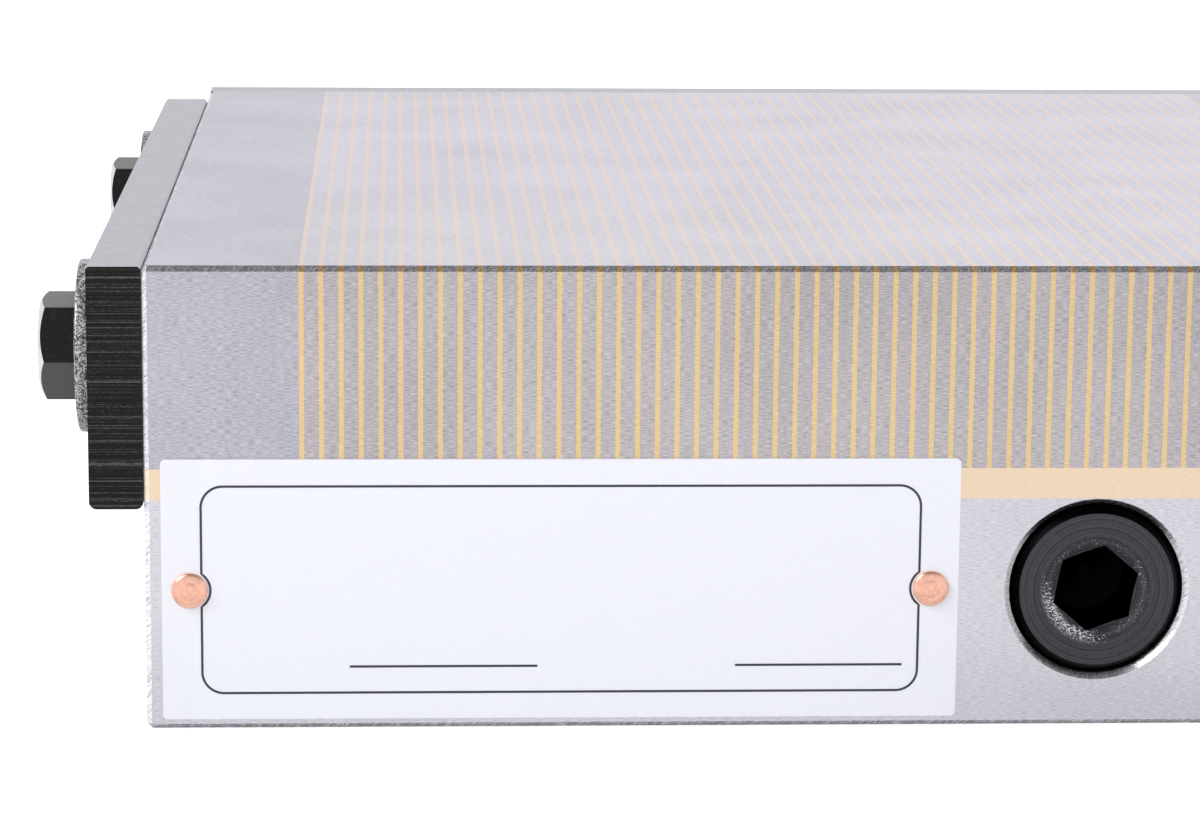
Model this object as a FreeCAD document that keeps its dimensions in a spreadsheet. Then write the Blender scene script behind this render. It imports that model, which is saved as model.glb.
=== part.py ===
"""Fine-pole permanent magnetic chuck, 150 x 150 x 48 mm, switched by an eccentric key shaft.

Frame: +Z up, +X along the length, the key is on the -Y side. The origin is the middle of the
base. Everything is in millimetres. Each sub-part is one object of the document; its sizes are
bound to the driving dimensions in the sheet, so a changed cell moves all that depends on it.
"""
import FreeCAD
import Part
import math
import os
import re
import Sketcher

Vector = FreeCAD.Vector

DRIVING_SIZES = {
    # the block: housing, non-magnetic band and laminated top plate, stacked
    "chuck_length": 150.0,
    "chuck_width": 150.0,
    "band_height": 3.2,
    "plate_height": 20.8,
    "edge_chamfer": 0.55,
    "end_wall": 14.0,
    "side_wall": 14.0,
    "cavity_radius": 5.0,
    # the laminated poles: brass strips between steel ones, end blocks take up the rest
    "steel_strip": 1.5,
    "brass_strip": 0.5,
    "least_end_block": 15.5,
    # the bottom cover and its screws
    "cover_thickness": 4.0,
    "cover_ledge": 8.0,
    "cover_end_ledge": 2.0,
    "cover_gap": 0.1,
    "cover_screw_setback": 9.0,
    "cover_screw_inset": 4.2,
    "cover_screw_diameter": 3.0,
    "cover_screw_head": 5.8,
    "cover_screw_length": 10.0,
    "cover_screw_key": 2.0,
    # the screws that hold housing, band and plate together
    "assembly_inset": 7.0,
    "assembly_spacing": 60.0,
    "assembly_diameter": 6.0,
    "assembly_hole": 6.6,
    "assembly_head": 10.0,
    "assembly_head_height": 6.0,
    "assembly_recess": 11.0,
    "assembly_seat": 7.0,
    "assembly_length": 30.0,
    "assembly_key": 5.0,
    "assembly_key_depth": 3.0,
    "thread_runout": 1.0,
    # the blind slots in both ends that take the machine's clamps
    "clamp_slot_length": 40.0,
    "clamp_slot_height": 8.0,
    "clamp_slot_base": 8.0,
    "clamp_slot_depth": 6.0,
    # the nameplate and its two rivets
    "name_left": 1.7,
    "name_low": 1.15,
    "name_to_bore": 5.4,
    "name_height": 27.1,
    "name_thickness": 0.4,
    "name_corner": 0.5,
    "rivet_inset": 2.85,
    "rivet_shank": 2.0,
    "rivet_head": 3.7,
    "rivet_dome": 0.7,
    "rivet_flat": 1.3,
    "rivet_shoulder": 2.8,
    "rivet_shoulder_height": 0.5,
    "rivet_rim": 0.15,
    "rivet_depth": 4.0,
    # the key shaft, its bore, socket, seal and stop; the bore sets the housing's height
    "shaft_offset": 22.5,
    "shaft_bore": 18.0,
    "wall_under_bore": 1.4,
    "wall_over_bore": 0.6,
    "shaft_fit": 0.04,
    "shaft_chamfer": 0.95,
    "shaft_past_wall": 0.4,
    "bore_chamfer": 0.55,
    "key_flats": 8.0,
    "key_depth": 8.0,
    "key_turn": 19.5,
    "key_rim": 11.0,
    "key_rim_depth": 0.8,
    "key_point_depth": 1.6,
    "seal_section": 1.8,
    "seal_setback": 10.6,
    "seal_gap": 0.05,
    "stop_pin_diameter": 3.0,
    "stop_pin_setback": 3.3,
    "stop_pin_reach": 1.9,
    "stop_pin_recess": 0.5,
    "stop_groove_depth": 2.2,
    "stop_groove_gap": 0.3,
    "stop_groove_angle": 214.0,
    # the eccentric and the bush that turns on it
    "cam_throw": 2.0,
    "cam_pin_diameter": 6.0,
    "bush_diameter": 10.0,
    "bush_length": 6.4,
    "bush_gap": 0.2,
    "bush_slack": 0.45,
    "cam_pin_end": 0.6,
    # the sliding pack: tray, steel pole bars, magnets, and the strips that it slides on
    "slide_strip_height": 1.0,
    "slide_strip_width": 6.0,
    "slide_strip_inset": 1.0,
    "slide_gap": 0.05,
    "pack_gap": 0.1,
    "tray_end_gap": 0.6,
    "tray_front_gap": 0.8,
    "tray_floor": 2.5,
    "tray_front_wall": 8.0,
    "tray_rear_wall": 6.0,
    "pole_bar": 4.0,
    "magnet_thickness": 4.0,
    "magnet_drop": 1.0,
    "magnet_joint": 0.1,
    "least_tray_wall": 4.0,
    "magnet_count": 4,
    # the side and rear stop rails, with their slots
    "rail_thickness": 5.5,
    "rail_height": 24.9,
    "rail_drop": 0.1,
    "rail_gap": 0.05,
    "rail_round": 0.8,
    "rail_edge": 0.25,
    "side_rail_length": 141.0,
    "side_rail_setback": 0.3,
    "rail_travel": 6.0,
    "rail_slot": 6.6,
    # their bolts and washers
    "stop_bolt_diameter": 6.0,
    "stop_bolt_length": 20.0,
    "stop_bolt_flats": 10.0,
    "stop_bolt_face": 9.5,
    "stop_bolt_head": 4.0,
    "stop_bolt_drop": 10.5,
    "stop_bolt_front": 13.6,
    "stop_bolt_rear": 32.0,
    "stop_bolt_end_inset": 9.4,
    "washer_diameter": 18.0,
    "washer_hole": 6.4,
    "washer_thickness": 1.6,
    "washer_edge": 0.35,
}

# places and sizes that follow from the driving ones, as formulas over the sheet
HALF_LENGTH = "(chuck_length / 2)"
HALF_WIDTH = "(chuck_width / 2)"
HOUSING_HEIGHT = "(cover_thickness + wall_under_bore + shaft_bore + wall_over_bore)"
SHAFT_Z = "(cover_thickness + wall_under_bore + shaft_bore / 2)"
PLATE_BASE = f"({HOUSING_HEIGHT} + band_height)"
WORK_FACE = f"({PLATE_BASE} + plate_height)"
STRIP_PITCH = "(steel_strip + brass_strip)"
BRASS_COUNT = f"floor((chuck_length - 2 * least_end_block + steel_strip) / {STRIP_PITCH})"
STACK_LENGTH = f"({BRASS_COUNT} * {STRIP_PITCH} - steel_strip)"
END_BLOCK = f"((chuck_length - {STACK_LENGTH}) / 2)"
CAVITY_LENGTH = "(chuck_length - 2 * end_wall)"
CAVITY_WIDTH = "(chuck_width - 2 * side_wall)"
COVER_LENGTH = f"({CAVITY_LENGTH} + 2 * cover_end_ledge)"
COVER_WIDTH = f"({CAVITY_WIDTH} + 2 * cover_ledge)"
COVER_SCREW_X = f"({CAVITY_LENGTH} / 2 - cover_screw_setback)"
COVER_SCREW_Y = f"({CAVITY_WIDTH} / 2 + cover_screw_inset)"
ASSEMBLY_X = f"({HALF_LENGTH} - assembly_inset)"
SHAFT_LENGTH = "(side_wall + shaft_past_wall)"
SHAFT_RADIUS = "(shaft_bore / 2 - shaft_fit)"
CAM_PIN_LENGTH = "(bush_gap + bush_length + cam_pin_end)"
NAME_LENGTH = f"({HALF_LENGTH} + shaft_offset - shaft_bore / 2 - name_to_bore - name_left)"
RIVET_LEFT = f"(name_left + rivet_inset - {HALF_LENGTH})"
RIVET_RIGHT = f"(name_left + {NAME_LENGTH} - rivet_inset - {HALF_LENGTH})"
RIVET_Z = "(name_low + name_height / 2)"
TRAY_BASE = "(cover_thickness + slide_strip_height + slide_gap)"
TRAY_LENGTH = f"({CAVITY_LENGTH} - 2 * cam_throw - 2 * tray_end_gap)"
TRAY_FRONT = f"(tray_front_gap - {CAVITY_WIDTH} / 2)"
TRAY_REAR = f"({CAVITY_WIDTH} / 2 - tray_end_gap)"
TRAY_HEIGHT = f"({PLATE_BASE} - pack_gap - {TRAY_BASE})"
PACK_PITCH = "(pole_bar + magnet_thickness)"
BAR_COUNT = f"floor(({TRAY_LENGTH} - 2 * least_tray_wall + magnet_thickness) / {PACK_PITCH})"
PACK_LENGTH = f"({BAR_COUNT} * {PACK_PITCH} - magnet_thickness)"
PACK_FRONT = f"({TRAY_FRONT} + tray_front_wall)"
PACK_WIDTH = f"({TRAY_REAR} - tray_rear_wall - {PACK_FRONT})"
PACK_BASE = f"({TRAY_BASE} + tray_floor)"
PACK_HEIGHT = f"({PLATE_BASE} - pack_gap - {PACK_BASE})"
MAGNET_LENGTH = f"({PACK_WIDTH} / magnet_count)"
STOP_BOLT_Z = f"({WORK_FACE} - stop_bolt_drop)"
STOP_BOLT_STEP = "(chuck_width - stop_bolt_front - stop_bolt_rear)"
REAR_BOLT_X = f"({HALF_LENGTH} - stop_bolt_end_inset)"
RAIL_BASE = f"({WORK_FACE} - rail_drop - rail_height)"
RAIL_OUTER = "(rail_gap + rail_thickness + rail_gap)"
BOLT_REACH = f"(stop_bolt_length - {RAIL_OUTER} - washer_thickness)"

# how a fastener's own axes lie in the frame: its head looks along its own +Z
FACING_FRONT = FreeCAD.Rotation(Vector(1, 0, 0), Vector(0, 0, 1), Vector(0, -1, 0), "ZXY")
FACING_REAR = FreeCAD.Rotation(Vector(1, 0, 0), Vector(0, 0, -1), Vector(0, 1, 0), "ZXY")
FACING_LEFT = FreeCAD.Rotation(Vector(0, 1, 0), Vector(0, 0, -1), Vector(-1, 0, 0), "ZXY")
FACING_DOWN = FreeCAD.Rotation(Vector(1, 0, 0), Vector(0, -1, 0), Vector(0, 0, -1), "ZXY")

doc = FreeCAD.newDocument("MagneticChuck")
sheet = doc.addObject("Spreadsheet::Sheet", "Sizes")
for row, (alias, size) in enumerate(DRIVING_SIZES.items(), start=1):
    sheet.set(f"A{row}", alias)
    sheet.set(f"B{row}", str(size))
    sheet.setAlias(f"B{row}", alias)
doc.recompute()

sub_parts = []


def formula(words):
    """Give the sheet's name to each alias in a formula; every alias has an underscore."""
    return re.sub(r"\b[a-z]+(?:_[a-z]+)+\b", lambda found: "Sizes." + found.group(), words)


def value(words):
    """The present value of a formula over the sheet."""
    return float(sheet.evalExpression(formula(words)))


def bind(thing, name, words):
    """Tie one property of an object to the sheet."""
    thing.setExpression(name, formula(words))


# ---- bodies, sketches and features ------------------------------------------------------


def new_body(label, x="0", y="0", z="0", facing=None):
    """A body whose place is bound to the sheet."""
    body = doc.addObject("PartDesign::Body", label)
    body.Label = label
    if facing is not None:
        body.Placement.Rotation = facing
    for axis, words in (("x", x), ("y", y), ("z", z)):
        bind(body, f"Placement.Base.{axis}", words)
    sub_parts.append(body)
    return body


def origin_part(body, role):
    """One of a body's own origin planes or axes."""
    return next(item for item in body.Origin.OriginFeatures if item.Role == role)


def new_sketch(body, name, plane, lift="0"):
    """A sketch on one of the body's origin planes, lifted along the plane's normal."""
    sketch = body.newObject("Sketcher::SketchObject", name)
    sketch.AttachmentSupport = [(origin_part(body, plane), "")]
    sketch.MapMode = "FlatFace"
    bind(sketch, "AttachmentOffset.Base.z", lift)
    return sketch


def dimension(sketch, kind, name, words, *ends):
    """A named dimension of a sketch, tied to the sheet."""
    index = sketch.addConstraint(Sketcher.Constraint(kind, *ends, value(words)))
    sketch.renameConstraint(index, name)
    bind(sketch, f"Constraints.{name}", words)


def circle(sketch, name, x, y, diameter):
    """A circle located from the sketch's origin."""
    centre = Vector(value(x), value(y), 0)
    index = sketch.addGeometry(Part.Circle(centre, Vector(0, 0, 1), value(diameter) / 2), False)
    dimension(sketch, "Diameter", f"{name}_diameter", diameter, index)
    dimension(sketch, "DistanceX", f"{name}_along", x, -1, 1, index, 3)
    dimension(sketch, "DistanceY", f"{name}_across", y, -1, 1, index, 3)


def polygon(sketch, name, corners):
    """A closed outline whose corners are formulas; every corner is located from the origin."""
    points = [Vector(value(x), value(y), 0) for x, y in corners]
    first = len(sketch.Geometry)
    for start, end in zip(points, points[1:] + points[:1]):
        sketch.addGeometry(Part.LineSegment(start, end), False)
    for step in range(len(points)):
        line = first + step
        following = first + (step + 1) % len(points)
        sketch.addConstraint(Sketcher.Constraint("Coincident", line, 2, following, 1))
    for step, (x, y) in enumerate(corners):
        dimension(sketch, "DistanceX", f"{name}_x_{step}", x, -1, 1, first + step, 1)
        dimension(sketch, "DistanceY", f"{name}_y_{step}", y, -1, 1, first + step, 1)


def rectangle(sketch, name, left, low, wide, tall):
    """An upright rectangle from its lower left corner."""
    right = f"({left}) + ({wide})"
    high = f"({low}) + ({tall})"
    polygon(sketch, name, [(left, low), (right, low), (right, high), (left, high)])


def rounded_rectangle(sketch, name, left, low, wide, tall, radius):
    """An upright rectangle with four equal rounded corners."""
    x, y, w, h, r = (value(words) for words in (left, low, wide, tall, radius))
    first = len(sketch.Geometry)
    sides = [
        (Vector(x + r, y, 0), Vector(x + w - r, y, 0)),
        (Vector(x + w, y + r, 0), Vector(x + w, y + h - r, 0)),
        (Vector(x + w - r, y + h, 0), Vector(x + r, y + h, 0)),
        (Vector(x, y + h - r, 0), Vector(x, y + r, 0)),
    ]
    centres = [(x + w - r, y + r), (x + w - r, y + h - r), (x + r, y + h - r), (x + r, y + r)]
    quarter = math.pi / 2
    for step in range(4):
        sketch.addGeometry(Part.LineSegment(*sides[step]), False)
        full = Part.Circle(Vector(*centres[step], 0), Vector(0, 0, 1), r)
        start = (step - 1) * quarter
        sketch.addGeometry(Part.ArcOfCircle(full, start, start + quarter), False)
    for step in range(4):
        line = first + 2 * step
        arc = line + 1
        following = first + 2 * ((step + 1) % 4)
        sketch.addConstraint(Sketcher.Constraint("Tangent", line, 2, arc, 1))
        sketch.addConstraint(Sketcher.Constraint("Tangent", arc, 2, following, 1))
        sketch.addConstraint(Sketcher.Constraint("Vertical" if step % 2 else "Horizontal", line))
        if step:
            sketch.addConstraint(Sketcher.Constraint("Equal", first + 1, arc))
    dimension(sketch, "Radius", f"{name}_radius", radius, first + 1)
    dimension(sketch, "DistanceY", f"{name}_low", low, -1, 1, first, 1)
    dimension(sketch, "DistanceX", f"{name}_left", left, -1, 1, first + 6, 1)
    dimension(sketch, "DistanceX", f"{name}_wide", wide, first + 6, 2, first + 2, 1)
    dimension(sketch, "DistanceY", f"{name}_tall", tall, first, 2, first + 4, 1)


def round_slot(sketch, name, x, y, width, travel, upright=True):
    """A slot with round ends from its first centre; the other one is `travel` up or along."""
    start = Vector(value(x), value(y), 0)
    step = Vector(0, value(travel), 0) if upright else Vector(value(travel), 0, 0)
    radius = value(width) / 2
    aside = Vector(radius, 0, 0) if upright else Vector(0, -radius, 0)
    turn = math.pi if upright else math.pi / 2
    first = len(sketch.Geometry)
    near = Part.Circle(start, Vector(0, 0, 1), radius)
    far = Part.Circle(start + step, Vector(0, 0, 1), radius)
    sketch.addGeometry(Part.ArcOfCircle(near, turn, turn + math.pi), False)
    sketch.addGeometry(Part.LineSegment(start + aside, start + step + aside), False)
    sketch.addGeometry(Part.ArcOfCircle(far, turn - math.pi, turn), False)
    sketch.addGeometry(Part.LineSegment(start + step - aside, start - aside), False)
    for side in range(4):
        following = first + (side + 1) % 4
        sketch.addConstraint(Sketcher.Constraint("Tangent", first + side, 2, following, 1))
    sketch.addConstraint(Sketcher.Constraint("Vertical" if upright else "Horizontal", first + 1))
    sketch.addConstraint(Sketcher.Constraint("Equal", first, first + 2))
    dimension(sketch, "Diameter", f"{name}_width", width, first)
    dimension(sketch, "DistanceX", f"{name}_along", x, -1, 1, first, 3)
    dimension(sketch, "DistanceY", f"{name}_low", y, -1, 1, first, 3)
    kind = "DistanceY" if upright else "DistanceX"
    dimension(sketch, kind, f"{name}_travel", travel, first, 3, first + 2, 3)


def pad(body, sketch, length, reverse=False):
    """Raise a sketch along its normal, or against it."""
    feature = body.newObject("PartDesign::Pad", f"{sketch.Name}Pad")
    feature.Profile = sketch
    feature.Reversed = reverse
    bind(feature, "Length", length)
    return feature


def pocket(body, sketch, depth, reverse=False):
    """Cut a sketch against its normal, or along it."""
    feature = body.newObject("PartDesign::Pocket", f"{sketch.Name}Cut")
    feature.Profile = sketch
    feature.Reversed = reverse
    bind(feature, "Length", depth)
    return feature


def revolve(body, sketch, cut=False, angle="360"):
    """Turn a sketch about the body's own Z axis, as solid or as a cut centred on the sketch."""
    kind = "PartDesign::Groove" if cut else "PartDesign::Revolution"
    feature = body.newObject(kind, f"{sketch.Name}Turned")
    feature.Profile = sketch
    feature.ReferenceAxis = (origin_part(body, "Z_Axis"), [""])
    feature.Midplane = cut
    bind(feature, "Angle", angle)
    return feature


def prism(body, name, flats, height, cut=False, turn="0", base="0"):
    """A hexagonal prism about the body's own Z axis, by its width across flats."""
    kind = "PartDesign::SubtractivePrism" if cut else "PartDesign::AdditivePrism"
    feature = body.newObject(kind, name)
    feature.Polygon = 6
    feature.AttachmentSupport = [(origin_part(body, "XY_Plane"), "")]
    feature.MapMode = "FlatFace"
    bind(feature, "Circumradius", f"({flats}) / sqrt(3)")
    bind(feature, "Height", height)
    bind(feature, "AttachmentOffset.Base.z", base)
    feature.AttachmentOffset.Rotation = FreeCAD.Rotation(Vector(0, 0, 1), value(turn))
    bind(feature, "AttachmentOffset.Rotation.Angle", turn)
    return feature


def edge_names(feature, wanted):
    """The names of the edges of a feature for which the test holds."""
    doc.recompute()
    edges = enumerate(feature.Shape.Edges, start=1)
    names = [f"Edge{number}" for number, edge in edges if wanted(edge)]
    if not names:
        raise ValueError(f"{feature.Name} has no such edge")
    return names


def chamfer(body, feature, size, wanted):
    """Chamfer the edges of the last feature for which the test holds."""
    result = body.newObject("PartDesign::Chamfer", f"{feature.Name}Chamfer")
    result.Base = (feature, edge_names(feature, wanted))
    bind(result, "Size", size)
    return result


def fillet(body, feature, radius, wanted):
    """Round the edges of the last feature for which the test holds."""
    result = body.newObject("PartDesign::Fillet", f"{feature.Name}Fillet")
    result.Base = (feature, edge_names(feature, wanted))
    bind(result, "Radius", radius)
    return result


def repeat(body, axis, count, spacing):
    """Repeat the whole body in a row along one of its own axes."""
    doc.recompute()
    pattern = body.newObject("PartDesign::LinearPattern", f"{body.Name}Row{axis[0]}")
    pattern.TransformMode = "Whole shape"
    pattern.Direction = (origin_part(body, axis), [""])
    pattern.Mode = "Spacing"
    bind(pattern, "Occurrences", count)
    bind(pattern, "Offset", spacing)
    body.Tip = pattern


def same(first, second):
    """Two lengths are the same, within a micrometre."""
    return abs(first - second) < 0.001


def on_chuck_edge(edge):
    """An edge where two of the chuck's outer faces meet; the joints inside stay sharp."""
    box = edge.BoundBox
    half_length, half_width, top = value(HALF_LENGTH), value(HALF_WIDTH), value(WORK_FACE)
    faces = [
        same(box.XMin, -half_length) and same(box.XMax, -half_length),
        same(box.XMin, half_length) and same(box.XMax, half_length),
        same(box.YMin, -half_width) and same(box.YMax, -half_width),
        same(box.YMin, half_width) and same(box.YMax, half_width),
        same(box.ZMin, 0) and same(box.ZMax, 0),
        same(box.ZMin, top) and same(box.ZMax, top),
    ]
    return sum(faces) >= 2


def four_circles(sketch, name, x, y, diameter):
    """The same circle in all four quarters of a sketch."""
    for number, (side, end) in enumerate(((-1, -1), (1, -1), (1, 1), (-1, 1))):
        circle(sketch, f"{name}_{'abcd'[number]}", f"{side} * {x}", f"{end} * {y}", diameter)


# ---- the block -----------------------------------------------------------------------------


def make_housing():
    """Steel frame: cavity for the pack, ledge for the cover, bore for the key shaft."""
    body = new_body("housing")
    outline = new_sketch(body, "HousingOutline", "XY_Plane")
    rectangle(outline, "block", f"-{HALF_LENGTH}", f"-{HALF_WIDTH}", "chuck_length", "chuck_width")
    block = pad(body, outline, HOUSING_HEIGHT)
    chamfer(body, block, "edge_chamfer", on_chuck_edge)

    cavity = new_sketch(body, "HousingCavity", "XY_Plane")
    rounded_rectangle(cavity, "cavity", f"-{CAVITY_LENGTH} / 2", f"-{CAVITY_WIDTH} / 2",
                      CAVITY_LENGTH, CAVITY_WIDTH, "cavity_radius")
    pocket(body, cavity, HOUSING_HEIGHT, reverse=True)
    ledge = new_sketch(body, "HousingLedge", "XY_Plane")
    rounded_rectangle(ledge, "ledge", f"-{COVER_LENGTH} / 2", f"-{COVER_WIDTH} / 2",
                      COVER_LENGTH, COVER_WIDTH, "cavity_radius + cover_end_ledge")
    pocket(body, ledge, "cover_thickness", reverse=True)

    bore = new_sketch(body, "HousingBore", "XZ_Plane", HALF_WIDTH)
    circle(bore, "bore", "shaft_offset", SHAFT_Z, "shaft_bore")
    bored = pocket(body, bore, "side_wall")
    half_width = value(HALF_WIDTH)
    radius = value("shaft_bore / 2")
    chamfer(body, bored, "bore_chamfer", lambda edge: edge.Curve.TypeId == "Part::GeomCircle"
            and same(edge.Curve.Radius, radius) and same(edge.Curve.Center.y, -half_width))

    pin_hole = new_sketch(body, "HousingPinHole", "XY_Plane")
    circle(pin_hole, "pin", "shaft_offset", f"stop_pin_setback - {HALF_WIDTH}", "stop_pin_diameter")
    pocket(body, pin_hole, SHAFT_Z, reverse=True)

    through = new_sketch(body, "HousingScrewHoles", "XY_Plane")
    four_circles(through, "hole", ASSEMBLY_X, "assembly_spacing / 2", "assembly_hole")
    pocket(body, through, HOUSING_HEIGHT, reverse=True)
    recesses = new_sketch(body, "HousingScrewRecesses", "XY_Plane")
    four_circles(recesses, "recess", ASSEMBLY_X, "assembly_spacing / 2", "assembly_recess")
    pocket(body, recesses, "assembly_seat", reverse=True)

    tapped = new_sketch(body, "HousingCoverHoles", "XY_Plane")
    four_circles(tapped, "corner", COVER_SCREW_X, COVER_SCREW_Y, "cover_screw_diameter")
    pocket(body, tapped, "cover_screw_length + thread_runout", reverse=True)

    rivets = new_sketch(body, "HousingRivetHoles", "XZ_Plane", HALF_WIDTH)
    for name, x in (("left", RIVET_LEFT), ("right", RIVET_RIGHT)):
        circle(rivets, name, x, RIVET_Z, "rivet_shank")
    pocket(body, rivets, "rivet_depth")

    for side, outward in (("Left", "-"), ("Right", "")):
        slot = new_sketch(body, f"HousingSlot{side}", "YZ_Plane", f"{outward}{HALF_LENGTH}")
        travel = "clamp_slot_length - clamp_slot_height"
        round_slot(slot, "slot", f"-({travel}) / 2", "clamp_slot_base + clamp_slot_height / 2",
                   "clamp_slot_height", travel, upright=False)
        pocket(body, slot, "clamp_slot_depth", reverse=side == "Left")


def make_band():
    """Brass frame that parts the poles from the housing magnetically."""
    body = new_body("brass_band")
    outline = new_sketch(body, "BandOutline", "XY_Plane", HOUSING_HEIGHT)
    rectangle(outline, "band", f"-{HALF_LENGTH}", f"-{HALF_WIDTH}", "chuck_length", "chuck_width")
    block = pad(body, outline, "band_height")
    chamfer(body, block, "edge_chamfer", on_chuck_edge)
    window = new_sketch(body, "BandWindow", "XY_Plane", PLATE_BASE)
    rounded_rectangle(window, "window", f"-{CAVITY_LENGTH} / 2", f"-{CAVITY_WIDTH} / 2",
                      CAVITY_LENGTH, CAVITY_WIDTH, "cavity_radius")
    pocket(body, window, "band_height")
    holes = new_sketch(body, "BandHoles", "XY_Plane", PLATE_BASE)
    four_circles(holes, "hole", ASSEMBLY_X, "assembly_spacing / 2", "assembly_hole")
    pocket(body, holes, "band_height")


def make_end_block(label, side):
    """Solid steel end of the top plate, tapped for the assembly screws and the stop bolts."""
    body = new_body(label)
    outline = new_sketch(body, f"{label}_outline", "XY_Plane", PLATE_BASE)
    inner = f"{HALF_LENGTH} - {END_BLOCK}" if side > 0 else f"-{HALF_LENGTH}"
    rectangle(outline, "block", inner, f"-{HALF_WIDTH}", END_BLOCK, "chuck_width")
    block = pad(body, outline, "plate_height")
    chamfer(body, block, "edge_chamfer", on_chuck_edge)

    tapped = new_sketch(body, f"{label}_screws", "XY_Plane", PLATE_BASE)
    for name, end in (("front", "-"), ("rear", "")):
        circle(tapped, name, f"{side} * {ASSEMBLY_X}", f"{end}assembly_spacing / 2",
               "assembly_diameter")
    pocket(body, tapped, f"assembly_seat + assembly_length + thread_runout - {PLATE_BASE}", reverse=True)

    rear = new_sketch(body, f"{label}_rear", "XZ_Plane", f"-{HALF_WIDTH}")
    circle(rear, "bolt", f"{side} * {REAR_BOLT_X}", STOP_BOLT_Z, "stop_bolt_diameter")
    pocket(body, rear, f"{BOLT_REACH} + thread_runout", reverse=True)
    if side < 0:
        end = new_sketch(body, f"{label}_side", "YZ_Plane", f"-{HALF_LENGTH}")
        circle(end, "front", f"stop_bolt_front - {HALF_WIDTH}", STOP_BOLT_Z, "stop_bolt_diameter")
        circle(end, "rear", f"{HALF_WIDTH} - stop_bolt_rear", STOP_BOLT_Z, "stop_bolt_diameter")
        pocket(body, end, f"{BOLT_REACH} + thread_runout", reverse=True)


def make_laminations(label, first, thickness, count):
    """A row of upright strips across the chuck, chamfered where they meet its edges."""
    body = new_body(label)
    side = new_sketch(body, f"{label}_side", "YZ_Plane", first)
    rectangle(side, "strip", f"-{HALF_WIDTH}", PLATE_BASE, "chuck_width", "plate_height")
    strip = pad(body, side, thickness)
    chamfer(body, strip, "edge_chamfer", on_chuck_edge)
    repeat(body, "X_Axis", count, STRIP_PITCH)


def make_cover():
    """Flush bottom cover, countersunk for its four screws."""
    body = new_body("base_cover")
    outline = new_sketch(body, "CoverOutline", "XY_Plane")
    rounded_rectangle(outline, "cover", f"cover_gap - {COVER_LENGTH} / 2",
                      f"cover_gap - {COVER_WIDTH} / 2", f"{COVER_LENGTH} - 2 * cover_gap",
                      f"{COVER_WIDTH} - 2 * cover_gap", "cavity_radius + cover_end_ledge")
    pad(body, outline, "cover_thickness")
    holes = new_sketch(body, "CoverHoles", "XY_Plane")
    four_circles(holes, "corner", COVER_SCREW_X, COVER_SCREW_Y, "cover_screw_diameter")
    drilled = pocket(body, holes, "cover_thickness", reverse=True)
    radius = value("cover_screw_diameter / 2")
    chamfer(body, drilled, "(cover_screw_head - cover_screw_diameter) / 2",
            lambda edge: edge.Curve.TypeId == "Part::GeomCircle"
            and same(edge.Curve.Radius, radius) and same(edge.Curve.Center.z, 0))


def make_cover_screws():
    """Flat-headed screws, flush with the cover."""
    body = new_body("cover_screws", f"-{COVER_SCREW_X}", COVER_SCREW_Y, "0", FACING_DOWN)
    profile = new_sketch(body, "CoverScrewProfile", "XZ_Plane")
    cone = "((cover_screw_head - cover_screw_diameter) / 2)"
    shank = "cover_screw_diameter / 2"
    polygon(profile, "screw", [
        ("0", "0"), ("cover_screw_head / 2", "0"), (shank, f"-{cone}"),
        (shank, "-cover_screw_length"), ("0", "-cover_screw_length")])
    revolve(body, profile)
    prism(body, "CoverScrewKey", "cover_screw_key", cone, cut=True, base=f"-{cone}")
    repeat(body, "X_Axis", "2", f"2 * {COVER_SCREW_X}")
    repeat(body, "Y_Axis", "2", f"2 * {COVER_SCREW_Y}")


def make_assembly_screws():
    """Socket-head cap screws from below, through housing and band into the end blocks."""
    body = new_body("assembly_screws", f"-{ASSEMBLY_X}", "assembly_spacing / 2", "assembly_seat",
                    FACING_DOWN)
    profile = new_sketch(body, "AssemblyProfile", "XZ_Plane")
    polygon(profile, "screw", [
        ("0", "assembly_head_height"), ("assembly_head / 2", "assembly_head_height"),
        ("assembly_head / 2", "0"),
        ("assembly_diameter / 2", "0"), ("assembly_diameter / 2", "-assembly_length"),
        ("0", "-assembly_length")])
    revolve(body, profile)
    prism(body, "AssemblyKey", "assembly_key", "assembly_key_depth", cut=True,
          base="assembly_head_height - assembly_key_depth")
    repeat(body, "X_Axis", "2", f"2 * {ASSEMBLY_X}")
    repeat(body, "Y_Axis", "2", "assembly_spacing")


# ---- the nameplate -------------------------------------------------------------------------


def make_nameplate():
    """Thin plate on the front, drilled for its rivets."""
    body = new_body("nameplate")
    outline = new_sketch(body, "PlateOutline", "XZ_Plane", HALF_WIDTH)
    rounded_rectangle(outline, "plate", f"name_left - {HALF_LENGTH}", "name_low",
                      NAME_LENGTH, "name_height", "name_corner")
    pad(body, outline, "name_thickness")
    holes = new_sketch(body, "PlateHoles", "XZ_Plane", f"{HALF_WIDTH} + name_thickness")
    for name, x in (("left", RIVET_LEFT), ("right", RIVET_RIGHT)):
        circle(holes, name, x, RIVET_Z, "rivet_shank")
    pocket(body, holes, "name_thickness")


def make_rivets():
    """Copper rivets with a low dome that ends in a small flat."""
    body = new_body("nameplate_rivets", RIVET_LEFT, f"-{HALF_WIDTH} - name_thickness", RIVET_Z,
                    FACING_FRONT)
    profile = new_sketch(body, "RivetProfile", "XZ_Plane")
    polygon(profile, "rivet", [
        ("0", "rivet_dome"), ("rivet_flat / 2", "rivet_dome"),
        ("rivet_shoulder / 2", "rivet_shoulder_height"), ("rivet_head / 2", "rivet_rim"),
        ("rivet_head / 2", "0"), ("rivet_shank / 2", "0"),
        ("rivet_shank / 2", "-name_thickness - rivet_depth"), ("0", "-name_thickness - rivet_depth")])
    revolve(body, profile)
    repeat(body, "X_Axis", "2", f"{RIVET_RIGHT} - {RIVET_LEFT}")


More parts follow.
